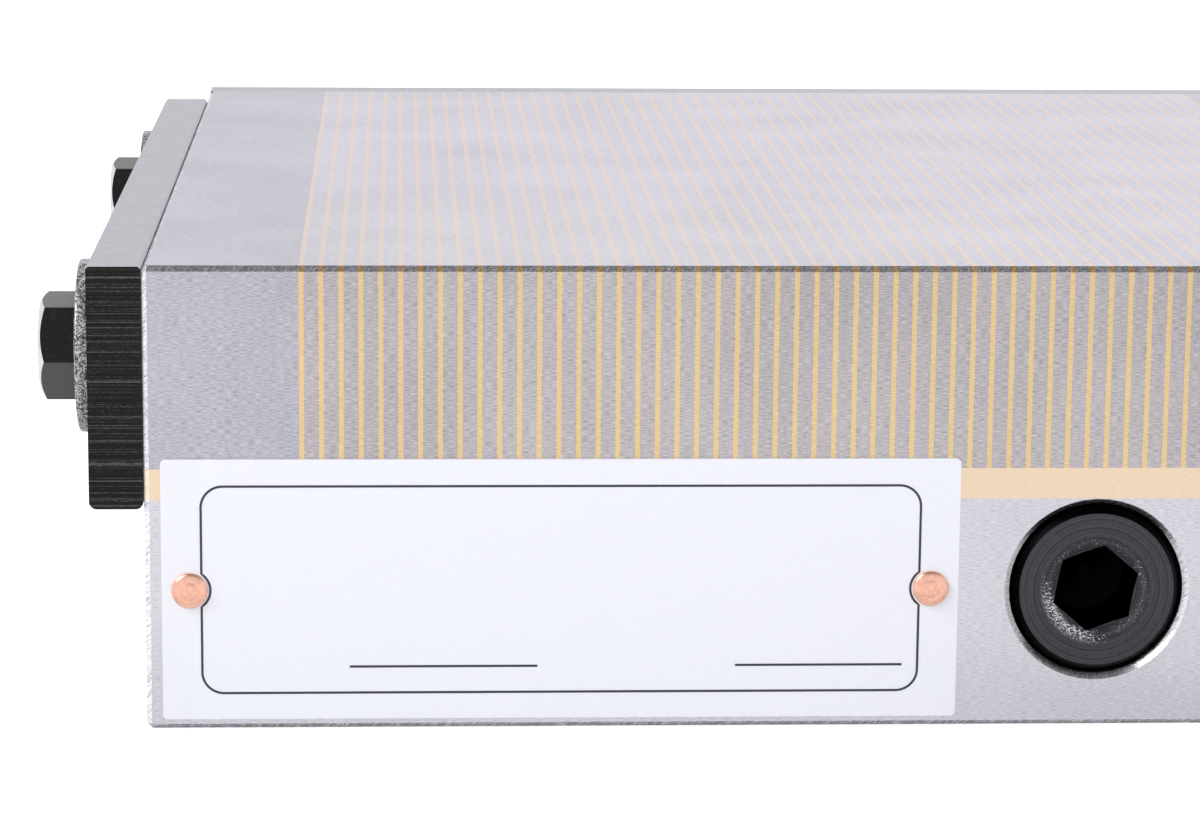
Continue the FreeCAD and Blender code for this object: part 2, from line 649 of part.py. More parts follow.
# ---- the key shaft and its eccentric ---------------------------------------------------------


def make_cam_shaft():
    """Key shaft: hexagon socket in front, seal and stop grooves, eccentric pin at the back."""
    body = new_body("cam_shaft", "shaft_offset", f"-{HALF_WIDTH}", SHAFT_Z, FACING_FRONT)
    profile = new_sketch(body, "ShaftProfile", "XZ_Plane")
    seal_top = "-(seal_setback - seal_section / 2)"
    seal_low = "-(seal_setback + seal_section / 2)"
    seal_floor = f"({SHAFT_RADIUS} - seal_section)"
    polygon(profile, "shaft", [
        ("0", "0"), (f"{SHAFT_RADIUS} - shaft_chamfer", "0"), (SHAFT_RADIUS, "-shaft_chamfer"),
        (SHAFT_RADIUS, seal_top), (seal_floor, seal_top), (seal_floor, seal_low),
        (SHAFT_RADIUS, seal_low), (SHAFT_RADIUS, f"shaft_chamfer / 2 - {SHAFT_LENGTH}"),
        (f"{SHAFT_RADIUS} - shaft_chamfer / 2", f"-{SHAFT_LENGTH}"), ("0", f"-{SHAFT_LENGTH}")])
    revolve(body, profile)

    pin = new_sketch(body, "CamPin", "XY_Plane", f"-{SHAFT_LENGTH}")
    circle(pin, "pin", "-cam_throw", "0", "cam_pin_diameter")
    pad(body, pin, CAM_PIN_LENGTH, reverse=True)

    stop = new_sketch(body, "StopGroove", "XZ_Plane")
    groove_width = "(stop_pin_diameter + 2 * stop_groove_gap)"
    rectangle(stop, "groove", "shaft_bore / 2 - stop_groove_depth",
              f"-stop_pin_setback - {groove_width} / 2", "stop_groove_depth", groove_width)
    revolve(body, stop, cut=True, angle="stop_groove_angle")

    prism(body, "KeySocket", "key_flats", "key_depth", cut=True, turn="key_turn", base="-key_depth")
    rim = new_sketch(body, "KeyRim", "XZ_Plane")
    polygon(rim, "rim", [("0", "0"), ("key_rim / 2", "0"), ("key_flats / 2", "-key_rim_depth"),
                         ("0", "-key_rim_depth")])
    revolve(body, rim, cut=True)
    point = new_sketch(body, "KeyPoint", "XZ_Plane")
    polygon(point, "point", [("0", "-key_depth"), ("key_flats / 2", "-key_depth"),
                             ("0", "-key_depth - key_point_depth")])
    revolve(body, point, cut=True)


def make_seal():
    """Rubber ring with a square section, in the shaft's groove."""
    body = new_body("shaft_seal", "shaft_offset", f"-{HALF_WIDTH}", SHAFT_Z, FACING_FRONT)
    profile = new_sketch(body, "SealSection", "XZ_Plane")
    rectangle(profile, "seal", f"{SHAFT_RADIUS} - seal_section + seal_gap",
              "-seal_setback - seal_section / 2 + seal_gap", "seal_section - seal_gap",
              "seal_section - 2 * seal_gap")
    revolve(body, profile)


def make_bush():
    """Bronze bush that turns on the eccentric pin, trapped between shaft and pack."""
    body = new_body("eccentric_bush", "shaft_offset", f"-{HALF_WIDTH}", SHAFT_Z, FACING_FRONT)
    section = new_sketch(body, "BushSection", "XY_Plane", f"-{SHAFT_LENGTH} - bush_gap")
    circle(section, "outer", "-cam_throw", "0", "bush_diameter")
    circle(section, "inner", "-cam_throw", "0", "cam_pin_diameter")
    pad(body, section, "bush_length", reverse=True)


def make_stop_pin():
    """Dowel from below that stands in the shaft's part groove: 180 degrees, and no way out."""
    body = new_body("stop_pin")
    section = new_sketch(body, "StopPin", "XY_Plane", "stop_pin_recess")
    circle(section, "pin", "shaft_offset", f"stop_pin_setback - {HALF_WIDTH}", "stop_pin_diameter")
    pad(body, section, f"{SHAFT_Z} - shaft_bore / 2 + stop_pin_reach - stop_pin_recess")


# ---- the sliding magnet pack ------------------------------------------------------------------


def make_slide_strips():
    """Two brass strips on the cover that carry the tray."""
    body = new_body("slide_strips")
    section = new_sketch(body, "StripSection", "XY_Plane", "cover_thickness")
    rectangle(section, "front", f"-{CAVITY_LENGTH} / 2 + cavity_radius",
              f"{TRAY_FRONT} + slide_strip_inset", f"{CAVITY_LENGTH} - 2 * cavity_radius",
              "slide_strip_width")
    pad(body, section, "slide_strip_height")
    between = f"{TRAY_REAR} - {TRAY_FRONT} - 2 * slide_strip_inset - slide_strip_width"
    repeat(body, "Y_Axis", "2", between)


def make_tray():
    """Aluminium tray that holds the pack; the eccentric works in the slot of its front wall."""
    body = new_body("magnet_tray", "-cam_throw")
    outline = new_sketch(body, "TrayOutline", "XY_Plane", TRAY_BASE)
    rounded_rectangle(outline, "tray", f"-{TRAY_LENGTH} / 2", TRAY_FRONT, TRAY_LENGTH,
                      f"{TRAY_REAR} - {TRAY_FRONT}", "cavity_radius")
    pad(body, outline, TRAY_HEIGHT)
    well = new_sketch(body, "TrayWell", "XY_Plane", f"{TRAY_BASE} + {TRAY_HEIGHT}")
    rectangle(well, "well", f"-{PACK_LENGTH} / 2", PACK_FRONT, PACK_LENGTH, PACK_WIDTH)
    pocket(body, well, PACK_HEIGHT)
    slot = new_sketch(body, "TraySlot", "XZ_Plane", f"-{TRAY_FRONT}")
    round_slot(slot, "slot", "shaft_offset", SHAFT_Z, "bush_diameter + 2 * bush_slack",
               "cam_throw")
    pocket(body, slot, "tray_front_wall")


def make_pole_bars():
    """Steel bars between the magnets, bonded into the tray with them."""
    body = new_body("pole_bars", "-cam_throw")
    side = new_sketch(body, "BarSide", "YZ_Plane", f"-{PACK_LENGTH} / 2")
    rectangle(side, "bar", PACK_FRONT, PACK_BASE, PACK_WIDTH, PACK_HEIGHT)
    pad(body, side, "pole_bar")
    repeat(body, "X_Axis", BAR_COUNT, PACK_PITCH)


def make_magnets():
    """Flat magnets, four to a row, in the gaps between the pole bars."""
    body = new_body("magnets", "-cam_throw")
    side = new_sketch(body, "MagnetSide", "YZ_Plane", f"pole_bar - {PACK_LENGTH} / 2")
    rectangle(side, "magnet", f"{PACK_FRONT} + magnet_joint / 2", PACK_BASE,
              f"{MAGNET_LENGTH} - magnet_joint", f"{PACK_HEIGHT} - magnet_drop")
    pad(body, side, "magnet_thickness")
    repeat(body, "Y_Axis", "magnet_count", MAGNET_LENGTH)
    repeat(body, "X_Axis", f"{BAR_COUNT} - 1", PACK_PITCH)


# ---- the stop rails ---------------------------------------------------------------------------


def rail_edges(along, upper):
    """A test for a rail's long edges, the two at its top or the two at its bottom."""
    top, low = value(f"{RAIL_BASE} + rail_height"), value(RAIL_BASE)
    height = top if upper else low

    def wanted(edge):
        box = edge.BoundBox
        length = box.YLength if along == "y" else box.XLength
        level = same(box.ZMin, height) and same(box.ZMax, height)
        return level and length > value("rail_thickness") * 2
    return wanted


def make_side_rail():
    """Stop rail on the left end, slotted so that it can be raised above the work face."""
    body = new_body("left_stop_rail")
    side = new_sketch(body, "SideRail", "YZ_Plane", f"-{HALF_LENGTH} - rail_gap")
    front = f"side_rail_setback - {HALF_WIDTH}"
    rectangle(side, "rail", front, RAIL_BASE, "side_rail_length", "rail_height")
    rail = pad(body, side, "rail_thickness", reverse=True)
    rounded = fillet(body, rail, "rail_round", rail_edges("y", upper=False))
    chamfer(body, rounded, "rail_edge", rail_edges("y", upper=True))
    slots = new_sketch(body, "SideRailSlots", "YZ_Plane", f"-{HALF_LENGTH} - rail_gap")
    low = f"{STOP_BOLT_Z} - rail_travel"
    round_slot(slots, "front", f"stop_bolt_front - {HALF_WIDTH}", low, "rail_slot", "rail_travel")
    round_slot(slots, "rear", f"{HALF_WIDTH} - stop_bolt_rear", low, "rail_slot", "rail_travel")
    pocket(body, slots, "rail_thickness")


def make_rear_rail():
    """Stop rail across the back, slotted in the same way."""
    body = new_body("rear_stop_rail")
    side = new_sketch(body, "RearRail", "XZ_Plane", f"-{HALF_WIDTH} - rail_gap")
    rectangle(side, "rail", f"-{HALF_LENGTH}", RAIL_BASE, "chuck_length", "rail_height")
    rail = pad(body, side, "rail_thickness", reverse=True)
    rounded = fillet(body, rail, "rail_round", rail_edges("x", upper=False))
    chamfer(body, rounded, "rail_edge", rail_edges("x", upper=True))
    slots = new_sketch(body, "RearRailSlots", "XZ_Plane", f"-{HALF_WIDTH} - rail_gap")
    low = f"{STOP_BOLT_Z} - rail_travel"
    round_slot(slots, "left", f"-{REAR_BOLT_X}", low, "rail_slot", "rail_travel")
    round_slot(slots, "right", REAR_BOLT_X, low, "rail_slot", "rail_travel")
    pocket(body, slots, "rail_thickness")


def make_washers(label, x, y, facing, spacing):
    """Broad flat washers over a rail's two slots."""
    body = new_body(label, x, y, STOP_BOLT_Z, facing)
    profile = new_sketch(body, f"{label}_profile", "XZ_Plane")
    polygon(profile, "washer", [
        ("washer_hole / 2", "0"), ("washer_diameter / 2", "0"),
        ("washer_diameter / 2", "washer_thickness - washer_edge"),
        ("washer_diameter / 2 - washer_edge", "washer_thickness"),
        ("washer_hole / 2", "washer_thickness")])
    revolve(body, profile)
    repeat(body, "X_Axis", "2", spacing)


def make_bolts(label, x, y, facing, spacing):
    """Hexagon bolts that clamp a rail; the corners of each head are turned off."""
    body = new_body(label, x, y, STOP_BOLT_Z, facing)
    prism(body, f"{label}_head", "stop_bolt_flats", "stop_bolt_head", turn="30")
    beyond = "(stop_bolt_flats / sqrt(3) + 1)"
    face = "stop_bolt_face / 2"
    bevel = new_sketch(body, f"{label}_bevel", "XZ_Plane")
    polygon(bevel, "bevel", [
        (face, "stop_bolt_head"), (beyond, "stop_bolt_head"),
        (beyond, f"stop_bolt_head - ({beyond} - {face}) * tan(30)")])
    revolve(body, bevel, cut=True)
    shank = new_sketch(body, f"{label}_shank", "XY_Plane")
    circle(shank, "shank", "0", "0", "stop_bolt_diameter")
    pad(body, shank, "stop_bolt_length", reverse=True)
    repeat(body, "X_Axis", "2", spacing)


# ---- the whole chuck ------------------------------------------------------------------------

make_housing()
make_band()
make_end_block("left_end_block", -1)
make_end_block("right_end_block", 1)
make_laminations("brass_laminations", f"-{STACK_LENGTH} / 2", "brass_strip", BRASS_COUNT)
make_laminations("steel_laminations", f"brass_strip - {STACK_LENGTH} / 2", "steel_strip",
                 f"{BRASS_COUNT} - 1")
make_cover()
make_cover_screws()
make_assembly_screws()
make_nameplate()
make_rivets()
make_cam_shaft()
make_seal()
make_bush()
make_stop_pin()
make_slide_strips()
make_tray()
make_pole_bars()
make_magnets()
make_side_rail()
make_rear_rail()
make_washers("left_stop_washers", f"-{HALF_LENGTH} - {RAIL_OUTER}",
             f"stop_bolt_front - {HALF_WIDTH}", FACING_LEFT, STOP_BOLT_STEP)
make_bolts("left_stop_bolts", f"-{HALF_LENGTH} - {RAIL_OUTER} - washer_thickness",
           f"stop_bolt_front - {HALF_WIDTH}", FACING_LEFT, STOP_BOLT_STEP)
make_washers("rear_stop_washers", f"-{REAR_BOLT_X}", f"{HALF_WIDTH} + {RAIL_OUTER}",
             FACING_REAR, f"2 * {REAR_BOLT_X}")
make_bolts("rear_stop_bolts", f"-{REAR_BOLT_X}", f"{HALF_WIDTH} + {RAIL_OUTER} + washer_thickness",
           FACING_REAR, f"2 * {REAR_BOLT_X}")
doc.recompute()


# ---- checks and files -------------------------------------------------------------------------


def check_document():
    """Stop on any failed object, and on a cut or a pattern that changed nothing."""
    for thing in doc.Objects:
        if "Invalid" in thing.State or "Error" in thing.State:
            raise RuntimeError(f"{thing.Name} failed: {thing.State}")
        base = getattr(thing, "BaseFeature", None)
        if base is not None and same(thing.Shape.Volume, base.Shape.Volume):
            raise RuntimeError(f"{thing.Name} changes nothing")
    for part in sub_parts:
        if part.Shape.isNull() or not part.Shape.isValid():
            raise RuntimeError(f"{part.Label} has no valid shape")


check_document()
os.makedirs("parts", exist_ok=True)
for part in sub_parts:
    part.Shape.exportStep(os.path.join("parts", f"{part.Label}.step"))
    print(f"{part.Label}: {len(part.Shape.Solids)} solids, {part.Shape.Volume / 1000:.2f} cm3")
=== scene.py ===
"""Looks of a fine-pole magnetic chuck: ground steel, brass strips, black stops and a bare nameplate.

Everything is in metres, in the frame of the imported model: +Z up out of the work face, +X along
the length, the key shaft on the -Y side. The CAD pieces stay where they are and get their
finishes here. Rivets, bolts and washers are made again with their small rounded edges and
threads, and the nameplate gets its printed lines.
"""
import logging
import math
from dataclasses import dataclass, field
from enum import Enum
from typing import Iterable, Optional, Sequence, Union

import bmesh
import bpy
from mathutils import Matrix, Vector


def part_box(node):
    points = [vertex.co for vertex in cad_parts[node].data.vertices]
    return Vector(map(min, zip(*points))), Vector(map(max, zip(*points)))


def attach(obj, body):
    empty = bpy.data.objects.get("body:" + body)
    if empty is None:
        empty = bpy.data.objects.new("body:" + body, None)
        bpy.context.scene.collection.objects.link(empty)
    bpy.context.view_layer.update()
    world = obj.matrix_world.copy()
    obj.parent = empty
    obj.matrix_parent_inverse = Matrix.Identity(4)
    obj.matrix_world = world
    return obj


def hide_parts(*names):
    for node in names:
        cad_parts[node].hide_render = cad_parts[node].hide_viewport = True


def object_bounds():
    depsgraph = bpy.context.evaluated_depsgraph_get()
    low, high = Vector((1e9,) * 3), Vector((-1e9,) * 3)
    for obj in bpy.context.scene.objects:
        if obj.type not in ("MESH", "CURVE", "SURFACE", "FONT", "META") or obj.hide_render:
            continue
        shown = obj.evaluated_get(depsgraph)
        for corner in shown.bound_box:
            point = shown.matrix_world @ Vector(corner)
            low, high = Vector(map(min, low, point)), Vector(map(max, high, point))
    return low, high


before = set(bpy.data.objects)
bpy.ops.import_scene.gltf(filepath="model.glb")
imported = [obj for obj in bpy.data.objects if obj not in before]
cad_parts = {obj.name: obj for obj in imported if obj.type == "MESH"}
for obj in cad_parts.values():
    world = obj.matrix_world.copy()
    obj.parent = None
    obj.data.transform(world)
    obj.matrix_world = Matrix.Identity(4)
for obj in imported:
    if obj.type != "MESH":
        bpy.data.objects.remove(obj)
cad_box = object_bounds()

MM = 0.001
log = logging.getLogger("chuck")

Triple = tuple[float, float, float]
Colour = Triple
Step = tuple[float, float]
Given = Union["Value", float, tuple, Vector]


# ---- shader maths ----------------------------------------------------------------------------


class Value:
    """One output of a node; arithmetic on it adds Math nodes to the same tree."""

    def __init__(self, graph: "Graph", socket: bpy.types.NodeSocket) -> None:
        """Wrap an output socket of a graph."""
        self.graph = graph
        self.socket = socket

    def math(self, operation: str, first: Given, second: Given = 0.0) -> "Value":
        """Add one Math node.

        Args:
            operation: the Math node's operation.
            first: its first value.
            second: its second value.

        Returns:
            The node's result.
        """
        return self.graph.node("ShaderNodeMath", {"operation": operation}, {0: first, 1: second})

    def __add__(self, other: Given) -> "Value":
        """Sum."""
        return self.math("ADD", self, other)

    def __radd__(self, other: Given) -> "Value":
        """Sum with a number on the left."""
        return self.math("ADD", other, self)

    def __sub__(self, other: Given) -> "Value":
        """Difference."""
        return self.math("SUBTRACT", self, other)

    def __rsub__(self, other: Given) -> "Value":
        """Difference from a number on the left."""
        return self.math("SUBTRACT", other, self)

    def __mul__(self, other: Given) -> "Value":
        """Product."""
        return self.math("MULTIPLY", self, other)

    def __rmul__(self, other: Given) -> "Value":
        """Product with a number on the left."""
        return self.math("MULTIPLY", other, self)

    def __pow__(self, other: Given) -> "Value":
        """Power."""
        return self.math("POWER", self, other)

    def __abs__(self) -> "Value":
        """Distance from zero."""
        return self.math("ABSOLUTE", self)

    def larger(self, other: Given) -> "Value":
        """The larger of two values."""
        return self.math("MAXIMUM", self, other)

    def ramp(self, low: float, high: float) -> "Value":
        """A smooth step.

        Args:
            low: where the step is 0.
            high: where the step is 1. Below `low`, it makes a falling step.

        Returns:
            The step's height, from 0 to 1.
        """
        settings = {"interpolation_type": "SMOOTHSTEP"}
        if high < low:
            return 1 - self.graph.node("ShaderNodeMapRange", settings, {0: self, 1: high, 2: low})
        return self.graph.node("ShaderNodeMapRange", settings, {0: self, 1: low, 2: high})


class Graph:
    """The node tree of one material, or of the world."""

    def __init__(self, name: str, world: bool = False) -> None:
        """Start a material, or a world, with that name."""
        self.owner = bpy.data.worlds.new(name) if world else bpy.data.materials.new(name)
        self.owner.use_nodes = True
        self.tree = self.owner.node_tree
        self.surface = self.tree.nodes["Background" if world else "Principled BSDF"]

    def node(self, kind: str, settings: dict, inputs: dict, output: Union[int, str] = 0) -> Value:
        """Add one node.

        Args:
            kind: the node's type.
            settings: its own settings, made first; "stops" holds a colour ramp's stops.
            inputs: a number, colour or link for each input socket.
            output: which output to return.

        Returns:
            The wrapped output.
        """
        made = self.tree.nodes.new(kind)
        for name, setting in settings.items():
            if name == "stops":
                self.set_stops(made.color_ramp, setting)
            else:
                setattr(made, name, setting)
        for name, given in inputs.items():
            self.feed(made.inputs[name], given)
        return Value(self, made.outputs[output])

    def feed(self, socket: bpy.types.NodeSocket, given: Given) -> None:
        """Give a socket its link, or its constant.

        Args:
            socket: an input of a node.
            given: a value to link, or a constant.
        """
        if isinstance(given, Value):
            self.tree.links.new(given.socket, socket)
        else:
            socket.default_value = given

    @staticmethod
    def set_stops(ramp: bpy.types.ColorRamp, stops: Sequence[tuple[float, Colour]]) -> None:
        """Fill a colour ramp from its stops.

        Args:
            ramp: a node's colour ramp.
            stops: the place and colour of each stop.
        """
        while len(ramp.elements) < len(stops):
            ramp.elements.new(1.0)
        for element, (place, colour) in zip(ramp.elements, stops):
            element.position = place
            element.color = (*colour, 1.0)

    def set(self, **inputs: Given) -> None:
        """Set the surface's sockets; an underscore in a name stands for a space."""
        for name, given in inputs.items():
            self.feed(self.surface.inputs[name.replace("_", " ")], given)

    def place(self) -> Value:
        """The point on the piece, in metres."""
        return self.node("ShaderNodeTexCoord", {}, {}, "Object")

    def facing(self) -> tuple[Value, Value, Value]:
        """The parts of the surface's normal, in the piece's own axes."""
        return self.split(self.node("ShaderNodeTexCoord", {}, {}, "Normal"))

    def ray(self, kind: str) -> Value:
        """1 on rays of one kind, such as "Is Camera Ray", and 0 on others."""
        return self.node("ShaderNodeLightPath", {}, {}, kind)

    def split(self, vector: Value) -> tuple[Value, Value, Value]:
        """The three parts of a vector."""
        apart = self.node("ShaderNodeSeparateXYZ", {}, {0: vector})
        outputs = apart.socket.node.outputs
        return tuple(Value(self, outputs[axis]) for axis in range(3))

    def join(self, x: Given, y: Given, z: Given) -> Value:
        """A vector from its parts."""
        return self.node("ShaderNodeCombineXYZ", {}, {0: x, 1: y, 2: z})

    def scaled(self, vector: Value, by: Sequence[float]) -> Value:
        """A vector with each part multiplied."""
        return self.node("ShaderNodeVectorMath", {"operation": "MULTIPLY"}, {0: vector, 1: by})

    def noise(self, vector: Value, scale: float = 1.0, detail: float = 2.0, rough: float = 0.5) -> Value:
        """Smooth noise from 0 to 1, mostly near a half.

        Args:
            vector: where to read it.
            scale: how many lumps to a unit.
            detail: how many finer layers it has.
            rough: how much each finer layer counts.

        Returns:
            The noise.
        """
        inputs = {"Vector": vector, "Scale": scale, "Detail": detail, "Roughness": rough}
        return self.node("ShaderNodeTexNoise", {}, inputs)

    def cells(self, vector: Value, scale: float) -> Value:
        """A random grey for each cell of a pattern of cells."""
        made = self.node("ShaderNodeTexVoronoi", {}, {"Vector": vector, "Scale": scale}, "Color")
        return self.split(made)[0]

    def mix(self, share: Given, low: Given, high: Given) -> Value:
        """A colour between two others."""
        low, high = (c if isinstance(c, Value) else (*c, 1.0) for c in (low, high))
        return self.node("ShaderNodeMix", {"data_type": "RGBA"}, {0: share, 6: low, 7: high}, 2)

    def tint(self, colour: Value, by: float) -> Value:
        """A colour made darker."""
        return self.scaled(colour, (by, by, by))

    def bump(self, height: Given, distance: float, strength: float = 1.0) -> Value:
        """A normal tilted by a height.

        Args:
            height: the height, in units of `distance`.
            distance: the height of 1, in metres.
            strength: how much of it counts.

        Returns:
            The tilted normal.
        """
        inputs = {"Strength": strength, "Distance": distance, "Height": height}
        return self.node("ShaderNodeBump", {}, inputs)


def shade(colour: Colour, by: float) -> Colour:
    """A colour made lighter or darker."""
    return tuple(min(1.0, part * by) for part in colour)


# ---- finishes ----------------------------------------------------------------------------------


@dataclass(frozen=True)
class GroundMetal:
    """Metal ground in long strokes, with hand-filed edges covered in slanting scratches, and a painted
    highlight on the edges at the block's ends, strongest where they stand upright.

    Widths, lengths and heights are of one stroke or scratch. Each step says where a share goes
    from 0 to 1: of the grain, of the scratches, and of the normal's parts for level faces,
    edges, edges at the block's ends, and edges that slope.
    """

    name: str
    colour: Colour
    top_colour: Colour
    edge_colour: Colour = (0.34, 0.33, 0.36)
    scratch_colour: Colour = (0.95, 0.94, 1.0)
    contrast: float = 0.22
    roughness: float = 0.34
    gloss_spread: float = 0.14
    edge_gloss: float = 0.06
    grain_width: float = 0.08 * MM
    grain_length: float = 0.75 * MM
    grain_height: float = 0.0015 * MM
    grain_step: Step = (0.34, 0.64)
    cloud_scale: float = 60.0
    cloud_share: float = 0.15
    scratch_width: float = 0.08 * MM
    scratch_length: float = 0.8 * MM
    scratch_height: float = 0.005 * MM
    scratch_step: Step = (0.46, 0.66)
    side_highlight: float = 0.12
    side_matt: float = 0.85
    top_calm: float = 0.65
    level_step: Step = (0.85, 0.95)
    edge_step: Step = (0.95, 0.88)
    side_step: Step = (0.45, 0.60)
    slope_step: Step = (0.30, 0.50)

    def material(self) -> bpy.types.Material:
        """Build the material."""
        graph = Graph(self.name)
        x, y, z = graph.split(graph.place())
        across, along = 1 / self.grain_width, 1 / self.grain_length
        nx, ny, nz = (abs(part) for part in graph.facing())
        level = nz.ramp(*self.level_step)
        edge = nx.larger(ny).larger(nz).ramp(*self.edge_step)
        # side marks the edges at the block's ends, mostly the upright ones, which get a painted highlight.
        side = nx.ramp(*self.side_step) * edge * (1 - nz.ramp(*self.slope_step) * self.top_calm)

        stretched = graph.join(x * along, y * (level * (across - along) + along),
                               z * (across - level * (across - along)))
        grain = graph.noise(stretched, detail=3.0, rough=0.62)
        cloud = graph.noise(graph.place(), scale=self.cloud_scale, detail=2.0)
        slant = graph.join((x + z + y) * (1 / self.scratch_length), y * (1 / self.scratch_length),
                           (x - z) * (1 / self.scratch_width))
        # The painted highlight: side pushes these edges towards the bright scratch colour, and they are made
        # less metallic.
        scratches = graph.noise(slant, detail=2.0, rough=0.7) + side * self.side_highlight

        flat = graph.mix(level, self.colour, self.top_colour)
        strokes = (grain * (1 - self.cloud_share) + cloud * self.cloud_share).ramp(*self.grain_step)
        brushed = graph.mix(strokes, graph.tint(flat, 1 - self.contrast * 2), flat)
        filed = graph.mix(scratches.ramp(*self.scratch_step), self.edge_colour, self.scratch_colour)
        height = grain * (1 - edge) * (self.grain_height / self.scratch_height) + scratches * edge
        gloss = self.roughness - self.gloss_spread / 2
        graph.set(
            Base_Color=graph.mix(edge, brushed, filed),
            Metallic=1 - side * self.side_matt,
            Roughness=grain * self.gloss_spread + edge * -self.edge_gloss + gloss,
            Normal=graph.bump(height, self.scratch_height),
        )
        return graph.owner


@dataclass(frozen=True)
class BlackOxide:
    """Blackened steel with a faint mottle, brighter where the coating is thin, with an optional painted sheen
    that lightens its level faces.
    """

    name: str
    colour: Colour = (0.006, 0.006, 0.006)
    thin_colour: Colour = (0.016, 0.016, 0.017)
    roughness: float = 0.30
    metallic: float = 0.0
    specular: float = 0.22
    level_sheen: Optional[Colour] = None
    gloss_spread: float = 0.18
    mottle: float = 0.8 * MM
    finer: float = 8.0
    height: float = 0.002 * MM
    thin_step: Step = (0.45, 0.75)
    level_sheen_step: Step = (0.42, 0.60)

    def material(self) -> bpy.types.Material:
        """Build the material."""
        graph = Graph(self.name)
        mottle = graph.noise(graph.place(), scale=1 / self.mottle, detail=4.0, rough=0.65)
        fine = graph.noise(graph.place(), scale=self.finer / self.mottle, detail=2.0)
        black = graph.mix(mottle.ramp(*self.thin_step), self.colour, self.thin_colour)
        # Painted sheen: faces that look up or down get a lighter colour, standing in for the light that they
        # reflect.
        if self.level_sheen:
            black = graph.mix(abs(graph.facing()[2]).ramp(*self.level_sheen_step), black, self.level_sheen)
        graph.set(
            Base_Color=black,
            Metallic=self.metallic,
            Specular_IOR_Level=self.specular,
            Roughness=fine * self.gloss_spread + (self.roughness - self.gloss_spread / 2),
            Normal=graph.bump(fine, self.height),
        )
        return graph.owner


@dataclass(frozen=True)
class SawnRail:
    """Stop rail: blackened, ground bright on top and towards the block, with sawn ridges elsewhere whose
    crests get a painted grey highlight.

    Each scale is in lumps to a metre along X, Y and Z.
    """

    name: str
    inward: Triple
    black: Colour = (0.002, 0.002, 0.002)
    ridge_highlight: Colour = (0.115, 0.115, 0.115)
    bright: Colour = (0.42, 0.42, 0.47)
    uneven: float = 0.06
    specular: float = 0.2
    roughness: float = 0.26
    gloss_spread: float = 0.16
    ground_gloss: float = 0.04
    ridge: float = 0.34 * MM
    ridge_height: float = 0.02 * MM
    waver: float = 0.12
    waver_scale: Triple = (700.0, 700.0, 300.0)
    speckle_scale: Triple = (2500.0, 2500.0, 9000.0)
    speckle_share: float = 0.15
    grain_scale: Triple = (900.0, 900.0, 6000.0)
    ground_step: Step = (0.55, 0.68)
    ridge_step: Step = (0.49, 0.64)
    grain_step: Step = (0.3, 0.7)

    def material(self) -> bpy.types.Material:
        """Build the material."""
        graph = Graph(self.name)
        place = graph.place()
        height = graph.split(place)[2]
        nx, ny, nz = graph.facing()
        towards = nx * self.inward[0] + ny * self.inward[1]
        ground = nz.larger(towards).ramp(*self.ground_step)
        waver = graph.noise(graph.scaled(place, self.waver_scale), detail=2.0)
        lines = graph.join(waver * self.waver, 0.0, height * (1 / self.ridge))
        ridges = graph.noise(lines, detail=4.0, rough=0.8)
        speckle = graph.noise(graph.scaled(place, self.speckle_scale), detail=2.0)
        grain = graph.noise(graph.scaled(place, self.grain_scale), detail=2.0)
        sawn = ridges * (1 - self.speckle_share) + speckle * self.speckle_share
        # Ridge crests are drawn grey: a painted highlight along the sawn lines.
        black = graph.mix(sawn.ramp(*self.ridge_step), self.black, self.ridge_highlight)
        light, dark = (shade(self.bright, 1 + side * self.uneven) for side in (1, -1))
        graph.set(
            Base_Color=graph.mix(ground, black, graph.mix(grain.ramp(*self.grain_step), dark, light)),
            Metallic=ground,
            Specular_IOR_Level=self.specular,
            Roughness=speckle * self.gloss_spread + ground * self.ground_gloss + self.roughness,
            Normal=graph.bump(ridges * (1 - ground), self.ridge_height),
        )
        return graph.owner


@dataclass(frozen=True)
class Speckled:
    """Galvanised washer steel: dark grey, with crowded bright flecks."""

    name: str
    dark: Colour = (0.05, 0.05, 0.052)
    bright: Colour = (0.64, 0.64, 0.66)
    metallic: float = 0.9
    roughness: float = 0.25
    gloss_spread: float = 0.25
    fleck: float = 0.11 * MM
    fleck_height: float = 0.01 * MM
    fleck_share: float = 0.6
    drift_size: float = 6.0
    drift_share: float = 0.6
    bright_step: Step = (0.47, 0.78)

    def material(self) -> bpy.types.Material:
        """Build the material."""
        graph = Graph(self.name)
        flecks = graph.cells(graph.place(), 1 / self.fleck)
        drift = graph.noise(graph.place(), scale=1 / (self.drift_size * self.fleck), detail=3.0)
        shown = (flecks * self.fleck_share + drift * self.drift_share).ramp(*self.bright_step)
        graph.set(
            Base_Color=graph.mix(shown, self.dark, self.bright),
            Metallic=self.metallic,
            Roughness=flecks * self.gloss_spread + self.roughness,
            Normal=graph.bump(flecks, self.fleck_height),
        )
        return graph.owner


